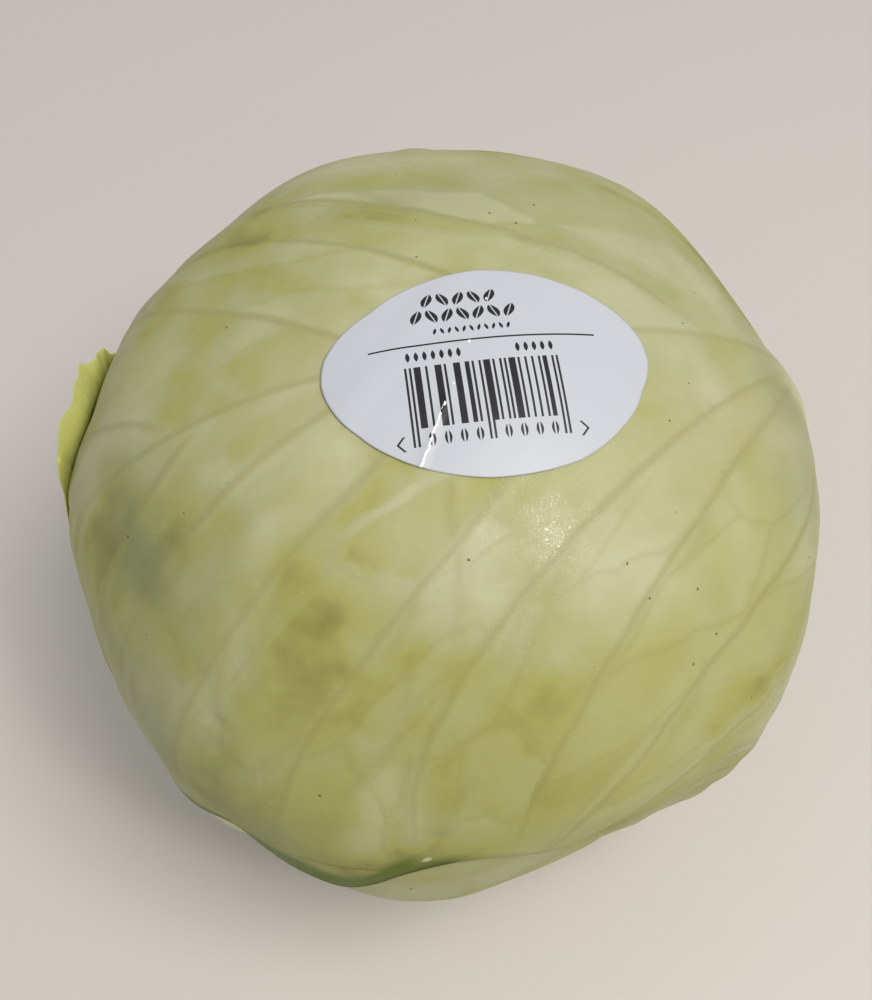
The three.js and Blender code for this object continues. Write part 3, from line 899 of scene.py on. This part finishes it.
    # Fleshy tissue near the stem and on the main rib is pale.
    fleshy = add(tree, "Math", {0: marks["rib"], 1: marks["base"]}, operation="MAXIMUM")
    fleshy = add(tree, "MapRange", {0: fleshy, 1: 0.0, 2: 1.0, 3: 0.0, 4: 0.75},
                 interpolation_type="SMOOTHSTEP")
    colour = add(tree, "Mix", {0: fleshy, 6: colour, 7: opaque(s.rib)}, out=2, data_type="RGBA")

    # Side veins, the thin line on the main rib, forks and cross veins.
    width = add(tree, "Math", {0: marks["strength"], 1: 0.9, 2: 0.6}, operation="MULTIPLY_ADD")
    vein = add(tree, "MapRange", {0: off, 1: 0.0, 2: width, 3: 1.0, 4: 0.0},
               interpolation_type="SMOOTHSTEP")
    vein = add(tree, "Math", {0: vein, 1: marks["strength"]}, operation="MULTIPLY")
    clear = add(tree, "MapRange", {0: out_along, 1: 0.8, 2: 2.0, 3: 0.0, 4: 1.0})
    vein = add(tree, "Math", {0: vein, 1: clear}, operation="MULTIPLY")
    slim = add(tree, "Math", {0: 1.0, 1: fleshy}, operation="SUBTRACT")
    rib_line = add(tree, "MapRange", {0: out_along, 1: 0.1, 2: 1.1, 3: 0.7, 4: 0.0},
                   interpolation_type="SMOOTHSTEP")
    vein = add(tree, "Math", {0: vein, 1: rib_line}, operation="MAXIMUM")
    twig = add(tree, "Math", {0: marks["twig"], 1: 0.55}, operation="MULTIPLY")
    vein = add(tree, "Math", {0: vein, 1: twig}, operation="MAXIMUM")
    cross = add(tree, "MapRange", {0: edge, 1: 0.0, 2: 0.07, 3: 0.35, 4: 0.0},
                interpolation_type="SMOOTHSTEP")
    far = add(tree, "MapRange", {0: out_along, 1: 14.0, 2: 30.0, 3: 0.0, 4: 1.0})
    cross = add(tree, "Math", {0: cross, 1: far}, operation="MULTIPLY")
    vein = add(tree, "Math", {0: vein, 1: cross}, operation="MAXIMUM")
    vein = add(tree, "Math", {0: vein, 1: slim}, operation="MULTIPLY")
    share = add(tree, "MapRange", {0: broad, 1: 0.35, 2: 0.6, 3: 0.7 * vein_share, 4: vein_share})
    share = add(tree, "Math", {0: vein, 1: share}, operation="MULTIPLY")
    colour = add(tree, "Mix", {0: share, 6: colour, 7: opaque(s.vein)}, out=2,
                 data_type="RGBA")
    # The torn leaf's yellow-green cast, strongest at its rim: partly the old leaf's own yellowing, partly
    # painted light, brighter than the leaf is, where the gap beside the head gets little light.
    if cast:
        yellowing_and_painted_light = add(tree, "MapRange", {
            0: marks["inset"], 1: 0.0, 2: 24.0, 3: cast_share, 4: 0.35 * cast_share})
        colour = add(tree, "Mix", {0: yellowing_and_painted_light, 6: colour, 7: opaque(cast)}, out=2,
                     data_type="RGBA")

    # The margin's edge is dark green where the leaf has kept its green, most so at one corner. Within 1.5
    # mm of the margin it turns darker still, a painted shadow of the gap under it.
    kept = add(tree, "Math", {0: marks["green"], 1: 0.7, 2: rim_share}, operation="MULTIPLY_ADD")
    kept = add(tree, "Math", {0: marks["corner"], 1: 0.9, 2: kept}, operation="MULTIPLY_ADD")
    depth = add(tree, "Math", {0: marks["corner"], 1: 5.5, 2: 1.9}, operation="MULTIPLY_ADD")
    rim = add(tree, "MapRange", {0: marks["inset"], 1: 0.3, 2: depth, 3: kept, 4: 0.0},
              interpolation_type="SMOOTHSTEP")
    # Painted shade along the very edge, fading out by 1.5 mm in.
    margin_shade = add(tree, "MapRange", {0: marks["inset"], 1: 0.4, 2: 1.5, 3: 1.0, 4: 0.0})
    rim_colour = add(tree, "Mix", {0: margin_shade, 6: opaque(s.rim), 7: opaque(linear("#4b4b1d"))},
                     out=2, data_type="RGBA")
    colour = add(tree, "Mix", {0: rim, 6: colour, 7: rim_colour}, out=2, data_type="RGBA",
                 clamp_factor=True)
    dry = add(tree, "MapRange", {0: marks["scar"], 1: 0.3, 2: 0.5, 3: 0.0, 4: 0.85})
    colour = add(tree, "Mix", {0: dry, 6: colour, 7: opaque(s.scar)}, out=2, data_type="RGBA")

    # Specks of soil and old bites, up to 0.3 mm in radius.
    from_speck = add(tree, "TexVoronoi", {"Vector": place, "Scale": 1 / (4 * MM)})
    size = add(tree, "SeparateColor", {0: from_speck.node.outputs["Color"]})
    least = add(tree, "Math", {0: marks["dirt"], 1: -0.3, 2: 0.5}, operation="MULTIPLY_ADD")
    size = add(tree, "MapRange", {0: size, 1: least, 2: 1.0, 3: 0.0, 4: 0.08})
    speck = add(tree, "Math", {0: from_speck, 1: size}, operation="LESS_THAN")
    speck = add(tree, "Math", {0: speck, 1: 0.75}, operation="MULTIPLY")
    colour = add(tree, "Mix", {0: speck, 6: colour, 7: opaque(linear("#4d4a2a"))}, out=2,
                 data_type="RGBA")

    # Wax grains 0.4 mm across, and puckers 2.5 mm across. Only the coat shows the crumbs on the
    # grains, and it is glossy on them alone, in clusters.
    grain = add(tree, "TexNoise", {"Vector": place, "Scale": 1 / (0.4 * MM), "Detail": 1.0})
    crumb = add(tree, "MapRange", {0: grain, 1: 0.5, 2: 0.66, 3: 0.0, 4: 1.0},
                interpolation_type="SMOOTHSTEP")
    glossy = add(tree, "MapRange", {0: grain, 1: 0.46, 2: 0.56, 3: 0.1, 4: 1.0})
    cluster = add(tree, "MapRange", {0: small, 1: 0.42, 2: 0.56, 3: 0.35, 4: 1.0})
    pucker = add(tree, "TexNoise", {"Vector": place, "Scale": 1 / (2.5 * MM), "Detail": 2.0})
    bloom = add(tree, "Math", {0: grain, 1: 0.03}, operation="MULTIPLY")
    bloom = add(tree, "Math", {0: pucker, 1: 0.14, 2: bloom}, operation="MULTIPLY_ADD")
    height = add(tree, "Math", {0: vein, 1: 0.08, 2: bloom}, operation="MULTIPLY_ADD")
    bump = add(tree, "Bump", {"Height": height, "Strength": 0.8, "Distance": MM})
    glint_height = add(tree, "Math", {0: crumb, 1: 0.09, 2: bloom}, operation="MULTIPLY_ADD")
    glint = add(tree, "Bump", {"Height": glint_height, "Strength": 1.0, "Distance": MM})
    roughness = add(tree, "MapRange", {0: small, 1: 0.3, 2: 0.7, 3: 0.42, 4: 0.56})
    wax = add(tree, "Math", {0: marks["shine"], 1: cluster}, operation="MULTIPLY")
    wax = add(tree, "Math", {0: wax, 1: glossy}, operation="MULTIPLY")
    wax = add(tree, "Math", {0: wax, 1: 0.8, 2: 0.05}, operation="MULTIPLY_ADD")
    shader = add(tree, "BsdfPrincipled", {
        "Base Color": colour, "Roughness": roughness, "Normal": bump, "IOR": 1.4,
        "Specular IOR Level": 0.12,
        "Subsurface Weight": glow, "Subsurface Radius": (1.0, 0.9, 0.4),
        "Subsurface Scale": 0.0018, "Coat Weight": wax, "Coat Roughness": 0.16,
        "Coat IOR": 1.45, "Coat Normal": glint,
    })
    add(tree, "OutputMaterial", {"Surface": shader})
    return finish


def cut_stem_finish(name, s):
    """Cut cabbage stem: wet pale pith inside a ring of woody fibres, dried brown at its rim. The
    eye gets radial fibres, a darker ring, and a matt, slightly rough face."""
    finish, tree = new_finish(name)
    place = add(tree, "TexCoord", out="Object")
    out = add(tree, "Attribute", out="Fac", attribute_name="out")
    side = add(tree, "Attribute", out="Fac", attribute_name="side")
    turn = add(tree, "Attribute", out="Fac", attribute_name="turn")
    wander = add(tree, "TexNoise", {"Vector": place, "Scale": 1 / (4 * MM), "Detail": 3.0})
    ring = add(tree, "Math", {0: wander, 1: 0.14, 2: out}, operation="MULTIPLY_ADD")
    colour = add(tree, "ValToRGB", {0: ring}, stops=[
        (0.10, opaque(linear("#dcd9b2"))), (0.42, opaque(linear("#e3e0bf"))),
        (0.62, opaque(linear("#c9c493"))), (0.80, opaque(linear("#d6cfa4"))),
        (0.96, opaque(linear("#b7a66f"))), (1.05, opaque(linear("#8a7344")))])
    fibre_place = add(tree, "CombineXYZ", {
        0: add(tree, "Math", {0: turn, 1: 14.0}, operation="MULTIPLY"),
        1: add(tree, "Math", {0: out, 1: 1.5}, operation="MULTIPLY"), 2: 0.0})
    fibre = add(tree, "TexNoise", {"Vector": fibre_place, "Scale": 4.0, "Detail": 2.0})
    fibre_share = add(tree, "MapRange", {0: fibre, 1: 0.45, 2: 0.7, 3: 0.0, 4: 0.35})
    colour = add(tree, "Mix", {0: fibre_share, 6: colour, 7: opaque(linear("#a8996a"))}, out=2,
                 data_type="RGBA")
    skin = add(tree, "Mix", {0: wander, 6: opaque(s.rib), 7: opaque(linear("#a89c66"))}, out=2,
               data_type="RGBA")
    colour = add(tree, "Mix", {0: side, 6: colour, 7: skin}, out=2, data_type="RGBA")
    height = add(tree, "Math", {0: fibre, 1: 0.25}, operation="MULTIPLY")
    height = add(tree, "Math", {0: wander, 1: 0.25, 2: height}, operation="MULTIPLY_ADD")
    bump = add(tree, "Bump", {"Height": height, "Strength": 0.8, "Distance": MM})
    shader = add(tree, "BsdfPrincipled", {
        "Base Color": colour, "Roughness": 0.62, "Normal": bump, "IOR": 1.4,
        "Subsurface Weight": 0.1, "Subsurface Radius": (1.0, 0.8, 0.4),
        "Subsurface Scale": 0.002,
    })
    add(tree, "OutputMaterial", {"Surface": shader})
    return finish


def leaf_row(tree, print_at, start, level, spacing, count, half, lean=0.0, midrib=0.0):
    """A row of small upright leaves, each as wide as 1 - h^2 at a height h from its middle, with
    a clear line on its middle. start is the row's left end, level its middle's height, and half
    a leaf's half width and half height, in millimetres. The leaves lean to and fro."""
    along, across = print_at
    number = add(tree, "Math", {0: along, 1: start}, operation="SUBTRACT")
    number = add(tree, "Math", {0: number, 1: spacing}, operation="DIVIDE")
    index = add(tree, "Math", {0: number}, operation="FLOOR")
    x = add(tree, "Math", {0: number, 1: index}, operation="SUBTRACT")
    x = add(tree, "Math", {0: x, 1: spacing, 2: -0.5 * spacing}, operation="MULTIPLY_ADD")
    y = add(tree, "Math", {0: across, 1: level}, operation="SUBTRACT")
    swing = add(tree, "Math", {0: index, 1: 2.0}, operation="FLOORED_MODULO")
    swing = add(tree, "Math", {0: swing, 1: 2 * lean, 2: -lean}, operation="MULTIPLY_ADD")
    x = add(tree, "Math", {0: y, 1: swing, 2: x}, operation="MULTIPLY_ADD")
    x = add(tree, "Math", {0: x}, operation="ABSOLUTE")
    taper = add(tree, "Math", {0: y, 1: half[1]}, operation="DIVIDE")
    taper = add(tree, "Math", {0: taper, 1: 2.0}, operation="POWER")
    taper = add(tree, "Math", {0: taper, 1: -half[0], 2: half[0]}, operation="MULTIPLY_ADD")
    mask = add(tree, "Math", {0: x, 1: taper}, operation="LESS_THAN")
    span = add(tree, "Math", {0: number, 1: count / 2, 2: count / 2}, operation="COMPARE")
    mask = add(tree, "Math", {0: mask, 1: span}, operation="MULTIPLY")
    clear = add(tree, "Math", {0: x, 1: midrib}, operation="GREATER_THAN")
    return add(tree, "Math", {0: mask, 1: clear}, operation="MULTIPLY")


def coated_paper_finish(name, s):
    """Coated label paper with black print: bluish white and satin, with crisp bars. The print is
    plain ornament: rows of small leaves, a rule, and bars of chance widths that stand for
    nothing."""
    finish, tree = new_finish(name)
    place = add(tree, "TexCoord", out="Object")
    along = add(tree, "Attribute", out="Fac", attribute_name="print_along")
    across = add(tree, "Attribute", out="Fac", attribute_name="print_across")

    # Bars: modules in two groups, each after a pair of taller guard bars. Lengths on the label
    # are in millimetres.
    module_width, group, start = 0.353, 32.0, -12.3
    module = add(tree, "Math", {0: along, 1: start}, operation="SUBTRACT")
    module = add(tree, "Math", {0: module, 1: module_width}, operation="DIVIDE")
    module = add(tree, "Math", {0: module}, operation="FLOOR")
    in_group = add(tree, "Math", {0: module, 1: group}, operation="MODULO")
    odd = add(tree, "Math", {0: in_group, 1: 2.0}, operation="MODULO")
    even = add(tree, "Math", {0: odd, 1: 0.5}, operation="LESS_THAN")
    first = add(tree, "Math", {0: in_group, 1: 2.5}, operation="LESS_THAN")
    guard = add(tree, "Math", {0: even, 1: first}, operation="MULTIPLY")
    chance = add(tree, "Math", {0: module, 1: 360.0}, operation="ADD")
    chance = add(tree, "TexWhiteNoise", {"W": chance}, noise_dimensions="1D")
    bar = add(tree, "Math", {0: chance, 1: 0.5}, operation="GREATER_THAN")
    later = add(tree, "Math", {0: in_group, 1: 2.5}, operation="GREATER_THAN")
    earlier = add(tree, "Math", {0: in_group, 1: group - 1.5}, operation="LESS_THAN")
    bar = add(tree, "Math", {0: bar, 1: later}, operation="MULTIPLY")
    bar = add(tree, "Math", {0: bar, 1: earlier}, operation="MULTIPLY")
    inside = add(tree, "Math", {0: module, 1: group + 1, 2: group + 1.5}, operation="COMPARE")
    bar_top, bar_foot, guard_foot = 0.6, -9.5, -12.3
    top = add(tree, "Math", {0: across, 1: bar_top}, operation="LESS_THAN")
    low = add(tree, "Math", {0: across, 1: bar_foot}, operation="GREATER_THAN")
    guard_low = add(tree, "Math", {0: across, 1: guard_foot}, operation="GREATER_THAN")
    bar = add(tree, "Math", {0: bar, 1: low}, operation="MULTIPLY")
    guard = add(tree, "Math", {0: guard, 1: guard_low}, operation="MULTIPLY")
    bars = add(tree, "Math", {0: bar, 1: guard}, operation="MAXIMUM")
    bars = add(tree, "Math", {0: bars, 1: inside}, operation="MULTIPLY")
    mask = add(tree, "Math", {0: bars, 1: top}, operation="MULTIPLY")

    # The rule: a line 0.3 mm wide, bowed a little.
    bow = add(tree, "Math", {0: along, 1: along}, operation="MULTIPLY")
    bow = add(tree, "Math", {0: bow, 1: 0.0012, 2: across}, operation="MULTIPLY_ADD")
    rule = add(tree, "Math", {0: bow, 1: 4.5, 2: 0.15}, operation="COMPARE")
    span = add(tree, "Math", {0: along, 1: 0.3, 2: 17.7}, operation="COMPARE")
    rule = add(tree, "Math", {0: rule, 1: span}, operation="MULTIPLY")
    mask = add(tree, "Math", {0: mask, 1: rule}, operation="MAXIMUM")

    # Rows of leaves: start, level, spacing, count, half width and height, lean, midrib.
    for row in (
            (-8.6, 12.6, 2.5, 5, (0.86, 1.35), 0.42, 0.1),
            (-10.6, 9.5, 2.45, 7, (0.86, 1.35), 0.42, 0.1),
            (-7.4, 6.6, 1.15, 11, (0.26, 0.6), 0.3, 0.0),
            (-12.2, 2.4, 1.3, 7, (0.34, 0.85), 0.0, 0.0),
            (4.7, 2.4, 1.3, 5, (0.34, 0.85), 0.0, 0.0),
            (-10.6, -11.3, 2.35, 4, (0.55, 1.25), 0.0, 0.14),
            (0.7, -11.3, 2.35, 4, (0.55, 1.25), 0.0, 0.14)):
        leaves = leaf_row(tree, (along, across), *row)
        mask = add(tree, "Math", {0: mask, 1: leaves}, operation="MAXIMUM")

    # A chevron beyond each end of the bars.
    level = add(tree, "Math", {0: across, 1: 11.6}, operation="ADD")
    level = add(tree, "Math", {0: level}, operation="ABSOLUTE")
    low_arm = add(tree, "Math", {0: level, 1: 1.15}, operation="LESS_THAN")
    for tip, way in ((-14.6, -0.9), (14.0, 0.9)):
        aside = add(tree, "Math", {0: level, 1: way, 2: along}, operation="MULTIPLY_ADD")
        arm = add(tree, "Math", {0: aside, 1: tip, 2: 0.2}, operation="COMPARE")
        arm = add(tree, "Math", {0: arm, 1: low_arm}, operation="MULTIPLY")
        mask = add(tree, "Math", {0: mask, 1: arm}, operation="MAXIMUM")

    colour = add(tree, "Mix", {0: mask, 6: opaque(s.paper), 7: opaque(s.ink)}, out=2,
                 data_type="RGBA")

    # A painted highlight: a broken white line along the paper's crease.
    crumbs = add(tree, "TexNoise", {"Vector": place, "Scale": 1 / (1.6 * MM), "Detail": 2.0})
    crease = add(tree, "Math", {0: across, 1: -CREASE_SLANT, 2: along}, operation="MULTIPLY_ADD")
    wander = 1.2
    crease = add(tree, "Math", {0: crumbs, 1: wander, 2: crease}, operation="MULTIPLY_ADD")
    crease = add(tree, "Math", {0: crease, 1: CREASE_START + 0.5 * wander, 2: 0.2},
                 operation="COMPARE")
    low = add(tree, "MapRange", {0: across, 1: -15.0, 2: -3.5, 3: 0.75, 4: 0.4})
    whole = add(tree, "Math", {0: crumbs, 1: low}, operation="LESS_THAN")
    crease = add(tree, "Math", {0: crease, 1: whole}, operation="MULTIPLY")
    colour = add(tree, "Mix", {0: crease, 6: colour, 7: opaque(linear("#f4f5f6"))}, out=2,
                 data_type="RGBA")
    fibres = add(tree, "TexNoise", {"Vector": place, "Scale": 1 / (1.2 * MM), "Detail": 2.0})
    bump = add(tree, "Bump", {"Height": fibres, "Strength": 0.3, "Distance": 0.05 * MM})
    shader = add(tree, "BsdfPrincipled", {
        "Base Color": colour, "Roughness": 0.42, "IOR": 1.42, "Normal": bump})
    add(tree, "OutputMaterial", {"Surface": shader})
    return finish


def painted_board_finish(name, colour):
    """Satin white painted board: an even, pale and slightly warm surface."""
    finish, tree = new_finish(name)
    place = add(tree, "TexCoord", out="Object")
    mottle = add(tree, "TexNoise", {"Vector": place, "Scale": 1 / (250 * MM), "Detail": 2.0})
    colour = add(tree, "Mix", {
        0: mottle, 6: opaque([0.94 * part for part in colour]), 7: opaque(colour)}, out=2,
        data_type="RGBA")
    shader = add(tree, "BsdfPrincipled", {"Base Color": colour, "Roughness": 0.55})
    add(tree, "OutputMaterial", {"Surface": shader})
    return finish


# ------------------------------------------------------------------------------- operators


def settle(piece, node, finish):
    """Gives a piece its finish and its place in the frame."""
    piece.data.materials.append(finish)
    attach(piece, "root")
    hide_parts(node)


class CABBAGE_OT_crown_leaf(bpy.types.Operator):
    """Builds the crown leaf, the big outer leaf that covers the whole top"""

    bl_idname = "cabbage.crown_leaf"
    bl_label = "Crown Leaf"

    def execute(self, context):
        head = Head(context.scene)
        piece = head.blade(head.stack[0], bearings=440, shares=fine_shares(rings=190))
        finish = cabbage_leaf_finish("Fresh cabbage leaf, crown", head.settings, seed=0,
                                     patchiness=1.0, vein_share=0.5)
        settle(piece, "crown_leaf", finish)
        return {"FINISHED"}


class CABBAGE_OT_wrapper_leaves(bpy.types.Operator):
    """Builds the four wrapper leaves that lie under the crown leaf, a golden angle apart"""

    bl_idname = "cabbage.wrapper_leaves"
    bl_label = "Wrapper Leaves"

    def execute(self, context):
        head = Head(context.scene)
        for leaf in head.stack[1:]:
            shares = hidden_shares(coarse=20, fine=86, cover=0.62)
            piece = head.blade(leaf, bearings=400, shares=shares)
            finish = cabbage_leaf_finish(
                f"Fresh cabbage leaf, wrapper {leaf.layer}", head.settings, seed=leaf.layer,
                patchiness=0.7, vein_share=0.22, rim_share=0.1)
            settle(piece, leaf.node, finish)
        return {"FINISHED"}


class CABBAGE_OT_torn_leaf(bpy.types.Operator):
    """Builds the torn remnant of an older leaf, with its ruffled yellow-green rim"""

    bl_idname = "cabbage.torn_leaf"
    bl_label = "Torn Leaf"

    def execute(self, context):
        head = Head(context.scene)
        piece = head.blade(head.torn, bearings=480, shares=fine_shares(rings=76),
                           inner_rings=40)
        # Its cast colour is partly painted light on the shaded rim.
        finish = cabbage_leaf_finish("Ageing cabbage leaf", head.settings, seed=7,
                                     patchiness=0.8, vein_share=0.3, rim_share=0.0,
                                     cast=linear("#d0d383"), cast_share=0.85, glow=0.6)
        settle(piece, "torn_leaf", finish)
        return {"FINISHED"}


class CABBAGE_OT_heart(bpy.types.Operator):
    """Builds the heart, the ball of packed inner leaves"""

    bl_idname = "cabbage.heart"
    bl_label = "Heart"

    def execute(self, context):
        head = Head(context.scene)
        leaf = Leaf("heart", CROWN_RIB_AZIMUTH - (WRAPPERS + 1) * GOLDEN_ANGLE, WRAPPERS + 1,
                    WRAPPER_OUTLINE, WRAPPER_RIB, WRAPPER_VEINS, seed=26)
        rings, count = 90, 200
        elevation = np.linspace(89, -89, rings)[:, None]
        azimuth = np.linspace(0, 360, count, endpoint=False)[None]
        ways = way_at(azimuth + 0 * elevation, elevation + 0 * azimuth)
        radius, marks = head.outer_face(leaf, ways)
        marks["inset"] = np.full(radius.shape, 20.0)
        gap = 0.3 * MM
        radius = head.ground(ways, WRAPPERS + 1) - gap
        piece = capped_shell("heart_leaves", head.centre + ways * radius[..., None], marks)
        finish = cabbage_leaf_finish("Fresh cabbage leaf, heart", head.settings, seed=5,
                                     patchiness=0.5, vein_share=0.25)
        settle(piece, "heart", finish)
        return {"FINISHED"}


class CABBAGE_OT_stem(bpy.types.Operator):
    """Builds the stump of the stalk with its cut face"""

    bl_idname = "cabbage.stem"
    bl_label = "Stem"

    def execute(self, context):
        scene = context.scene
        low, high = STEM_BOX
        radius = (high.x - low.x) / 2
        count = 192
        turn = np.linspace(0, 2 * math.pi, count, endpoint=False)[None]
        face = np.linspace(0.02, 1, 44)[:, None]
        side = np.linspace(0, 1, 30)[:, None]

        # The cut face: dished over the pith, level over the woody ring, and a little shrunk
        # outside it, with faint parallel ridges from the knife.
        x, y = face * np.cos(turn), face * np.sin(turn)
        shrunk, cut_depth = 0.35 * MM, 0.05 * MM
        dish = 0.7 * MM * (1 - smooth(0.05, 0.5, face)) + shrunk * smooth(0.72, 1, face)
        knife = cut_depth * (1 + np.sin(46 * x + 3 * y + 2 * np.sin(5 * y)))
        face_share = 0.955
        face_z = dish + knife
        face_r = radius * face_share * face + 0 * turn

        # The side: a rounded edge, then a column that narrows upwards, with ribs where leaf
        # bases were cut away.
        rounding = 1.2 * MM
        rise = rounding * smooth(0, 0.12, side)
        edge = radius * (face_share + (1 - face_share) * smooth(0, 0.12, side))
        narrowing = 3 * MM * smooth(0.5, 1, side)
        scar = np.sin(turn * 5 + 9 * side) + 0.6 * np.sin(13 * turn + 3)
        side_r = edge - narrowing + 0.35 * MM * (scar - 1.3) * smooth(0.02, 0.2, side)
        foot = shrunk + 2 * cut_depth
        column = high.z - foot - rounding - 0.05 * MM
        side_z = foot + rise + side * column + 0 * turn

        ring_r = np.concatenate([face_r, side_r[1:]])
        ring_z = np.concatenate([face_z, side_z[1:]])
        rings = np.stack([ring_r * np.cos(turn), ring_r * np.sin(turn), ring_z], -1)
        share = np.concatenate([face + 0 * turn, 1 + 0 * side_r[1:]])
        on_side = np.concatenate([0 * face_r, smooth(0, 0.1, side[1:]) + 0 * turn])
        marks = {"out": share, "side": on_side, "turn": np.sin(turn * 3) + 0 * ring_r}
        piece = capped_shell("stem_stump", rings[:, ::-1], {k: v[:, ::-1] for k, v in marks.items()})
        settle(piece, "stem", cut_stem_finish("Cut cabbage stem", scene.cabbage_leaves))
        return {"FINISHED"}


class CABBAGE_OT_label(bpy.types.Operator):
    """Builds the oval paper label on the crown"""

    bl_idname = "cabbage.label"
    bl_label = "Paper Label"

    def execute(self, context):
        scene = context.scene
        head = Head(scene)
        s = scene.cabbage_label
        rings, count = 70, 240
        bearing = np.linspace(-math.pi, math.pi, count, endpoint=False)[None]
        cut = np.interp(np.degrees(bearing), *np.transpose(LABEL_OUTLINE))
        share = np.linspace(0.01, 1, rings)[:, None]
        x = (s.half_length * np.cos(bearing) * cut + 0.7 * MM) * share
        y = s.half_width * np.sin(bearing) * cut * share
        outward = way_at(math.degrees(s.azimuth), math.degrees(s.elevation))
        level = way_at(math.degrees(s.turn), 0)
        long_axis = level - outward * (outward @ level)
        long_axis /= np.linalg.norm(long_axis)
        short_axis = np.cross(outward, long_axis)
        radius = scene.cabbage_head.crown_height
        offset = (x[..., None] * long_axis + y[..., None] * short_axis) / radius
        angle = np.linalg.norm(offset, axis=-1, keepdims=True)
        ways = np.cos(angle) * outward + np.sinc(angle / math.pi) * offset
        ground, _ = head.outer_face(head.stack[0], ways)
        ground = 0.25 * ground + 0.75 * (head.ground(ways, 0) + 0.3 * MM)

        # A crease runs from the lower edge up past the middle.
        from_crease = x / MM - CREASE_START - CREASE_SLANT * y / MM
        crease = 0.25 * MM * np.exp(-(from_crease / 0.7) ** 2) * smooth(-1 * MM, -8 * MM, y)
        bottom = ground + 0.1 * MM
        top = bottom + s.thickness + crease
        edge_ways = ways[-1:]
        back = slice(None, None, -5)
        all_ways = np.concatenate([ways, edge_ways, ways[back]])
        all_radii = np.concatenate([top, (top[-1:] + bottom[-1:]) / 2, bottom[back]])
        places = {"print_along": x / MM, "print_across": y / MM}
        places = {k: np.concatenate([v, v[-1:], v[back]]) for k, v in places.items()}
        rings = head.centre + all_ways * all_radii[..., None]
        piece = capped_shell("paper_label", rings, places)
        settle(piece, "label", coated_paper_finish("Coated label paper", s))
        return {"FINISHED"}


class CABBAGE_OT_stage(bpy.types.Operator):
    """Sets up the floor, the lights and the camera"""

    bl_idname = "cabbage.stage"
    bl_label = "Stage"

    def execute(self, context):
        scene = context.scene
        s = scene.cabbage_stage
        form = HeadForm(scene.cabbage_head)
        centre = Vector(form.centre)
        half = 1.5  # metres
        mesh = bpy.data.meshes.new("floor")
        corners = [(-half, -half, 0), (half, -half, 0), (half, half, 0), (-half, half, 0)]
        mesh.from_pydata(corners, [], [(0, 1, 2, 3)])
        floor = bpy.data.objects.new("floor", mesh)
        scene.collection.objects.link(floor)
        mesh.materials.append(painted_board_finish("Satin painted board", s.floor))

        # A broad key light stands to the right, so that shadows fall to the left, and a small
        # one in front makes the wax glint.
        for name, way, size, power in (
                ("key", (0.34, -0.23, 0.91), 0.36, s.key_power),
                ("glint", (0.430, -0.423, 0.798), 0.13, s.glint_power)):
            light = bpy.data.lights.new(name, "AREA")
            light.energy = power
            light.shape = "DISK"
            light.size = size
            light.color = linear("#fffaf2")
            lamp = bpy.data.objects.new(name, light)
            lamp.location = centre + 0.9 * Vector(way)
            lamp.rotation_euler = Vector(way).to_track_quat("Z", "Y").to_euler()
            scene.collection.objects.link(lamp)

        world = bpy.data.worlds.new("studio")
        world.use_nodes = True
        background = world.node_tree.nodes["Background"]
        background.inputs["Color"].default_value = opaque(linear("#f1f2f5"))
        background.inputs["Strength"].default_value = s.fill_strength
        scene.world = world
        scene.view_settings.view_transform = "Standard"

        lens = bpy.data.cameras.new("camera")
        lens.lens = s.lens
        lens.sensor_width = 36
        lens.shift_x = -0.009
        lens.shift_y = 0.025
        lens.clip_start = 0.01
        camera = bpy.data.objects.new("camera", lens)
        back = Vector((0, -math.cos(s.view_elevation), math.sin(s.view_elevation)))
        camera.location = centre + s.view_distance * back
        camera.rotation_euler = back.to_track_quat("Z", "Y").to_euler()
        scene.collection.objects.link(camera)
        scene.camera = camera
        return {"FINISHED"}


STEPS = [
    CABBAGE_OT_stage, CABBAGE_OT_stem, CABBAGE_OT_heart, CABBAGE_OT_wrapper_leaves,
    CABBAGE_OT_crown_leaf, CABBAGE_OT_torn_leaf, CABBAGE_OT_label,
]
SETTINGS = {
    "cabbage_head": CabbageHead, "cabbage_leaves": CabbageLeaves,
    "cabbage_label": CabbageLabel, "cabbage_stage": CabbageStage,
}


class CABBAGE_PT_panel(bpy.types.Panel):
    """Lists the steps of the build and their settings"""

    bl_idname = "CABBAGE_PT_panel"
    bl_label = "White Cabbage"
    bl_space_type = "VIEW_3D"
    bl_region_type = "UI"
    bl_category = "Cabbage"

    def draw(self, context):
        for step in STEPS:
            self.layout.operator(step.bl_idname)
        for name in SETTINGS:
            group = getattr(context.scene, name)
            box = self.layout.box()
            for key in group.bl_rna.properties.keys():
                if key not in {"rna_type", "name"}:
                    box.prop(group, key)


def register():
    for group in SETTINGS.values():
        bpy.utils.register_class(group)
    for name, group in SETTINGS.items():
        setattr(bpy.types.Scene, name, bpy.props.PointerProperty(type=group))
    for step in (*STEPS, CABBAGE_PT_panel):
        bpy.utils.register_class(step)


def unregister():
    for step in reversed((*STEPS, CABBAGE_PT_panel)):
        bpy.utils.unregister_class(step)
    for name, group in SETTINGS.items():
        delattr(bpy.types.Scene, name)
        bpy.utils.unregister_class(group)


def main():
    register()
    for step in STEPS:
        family, name = step.bl_idname.split(".")
        getattr(getattr(bpy.ops, family), name)()


if __name__ == "__main__":
    main()
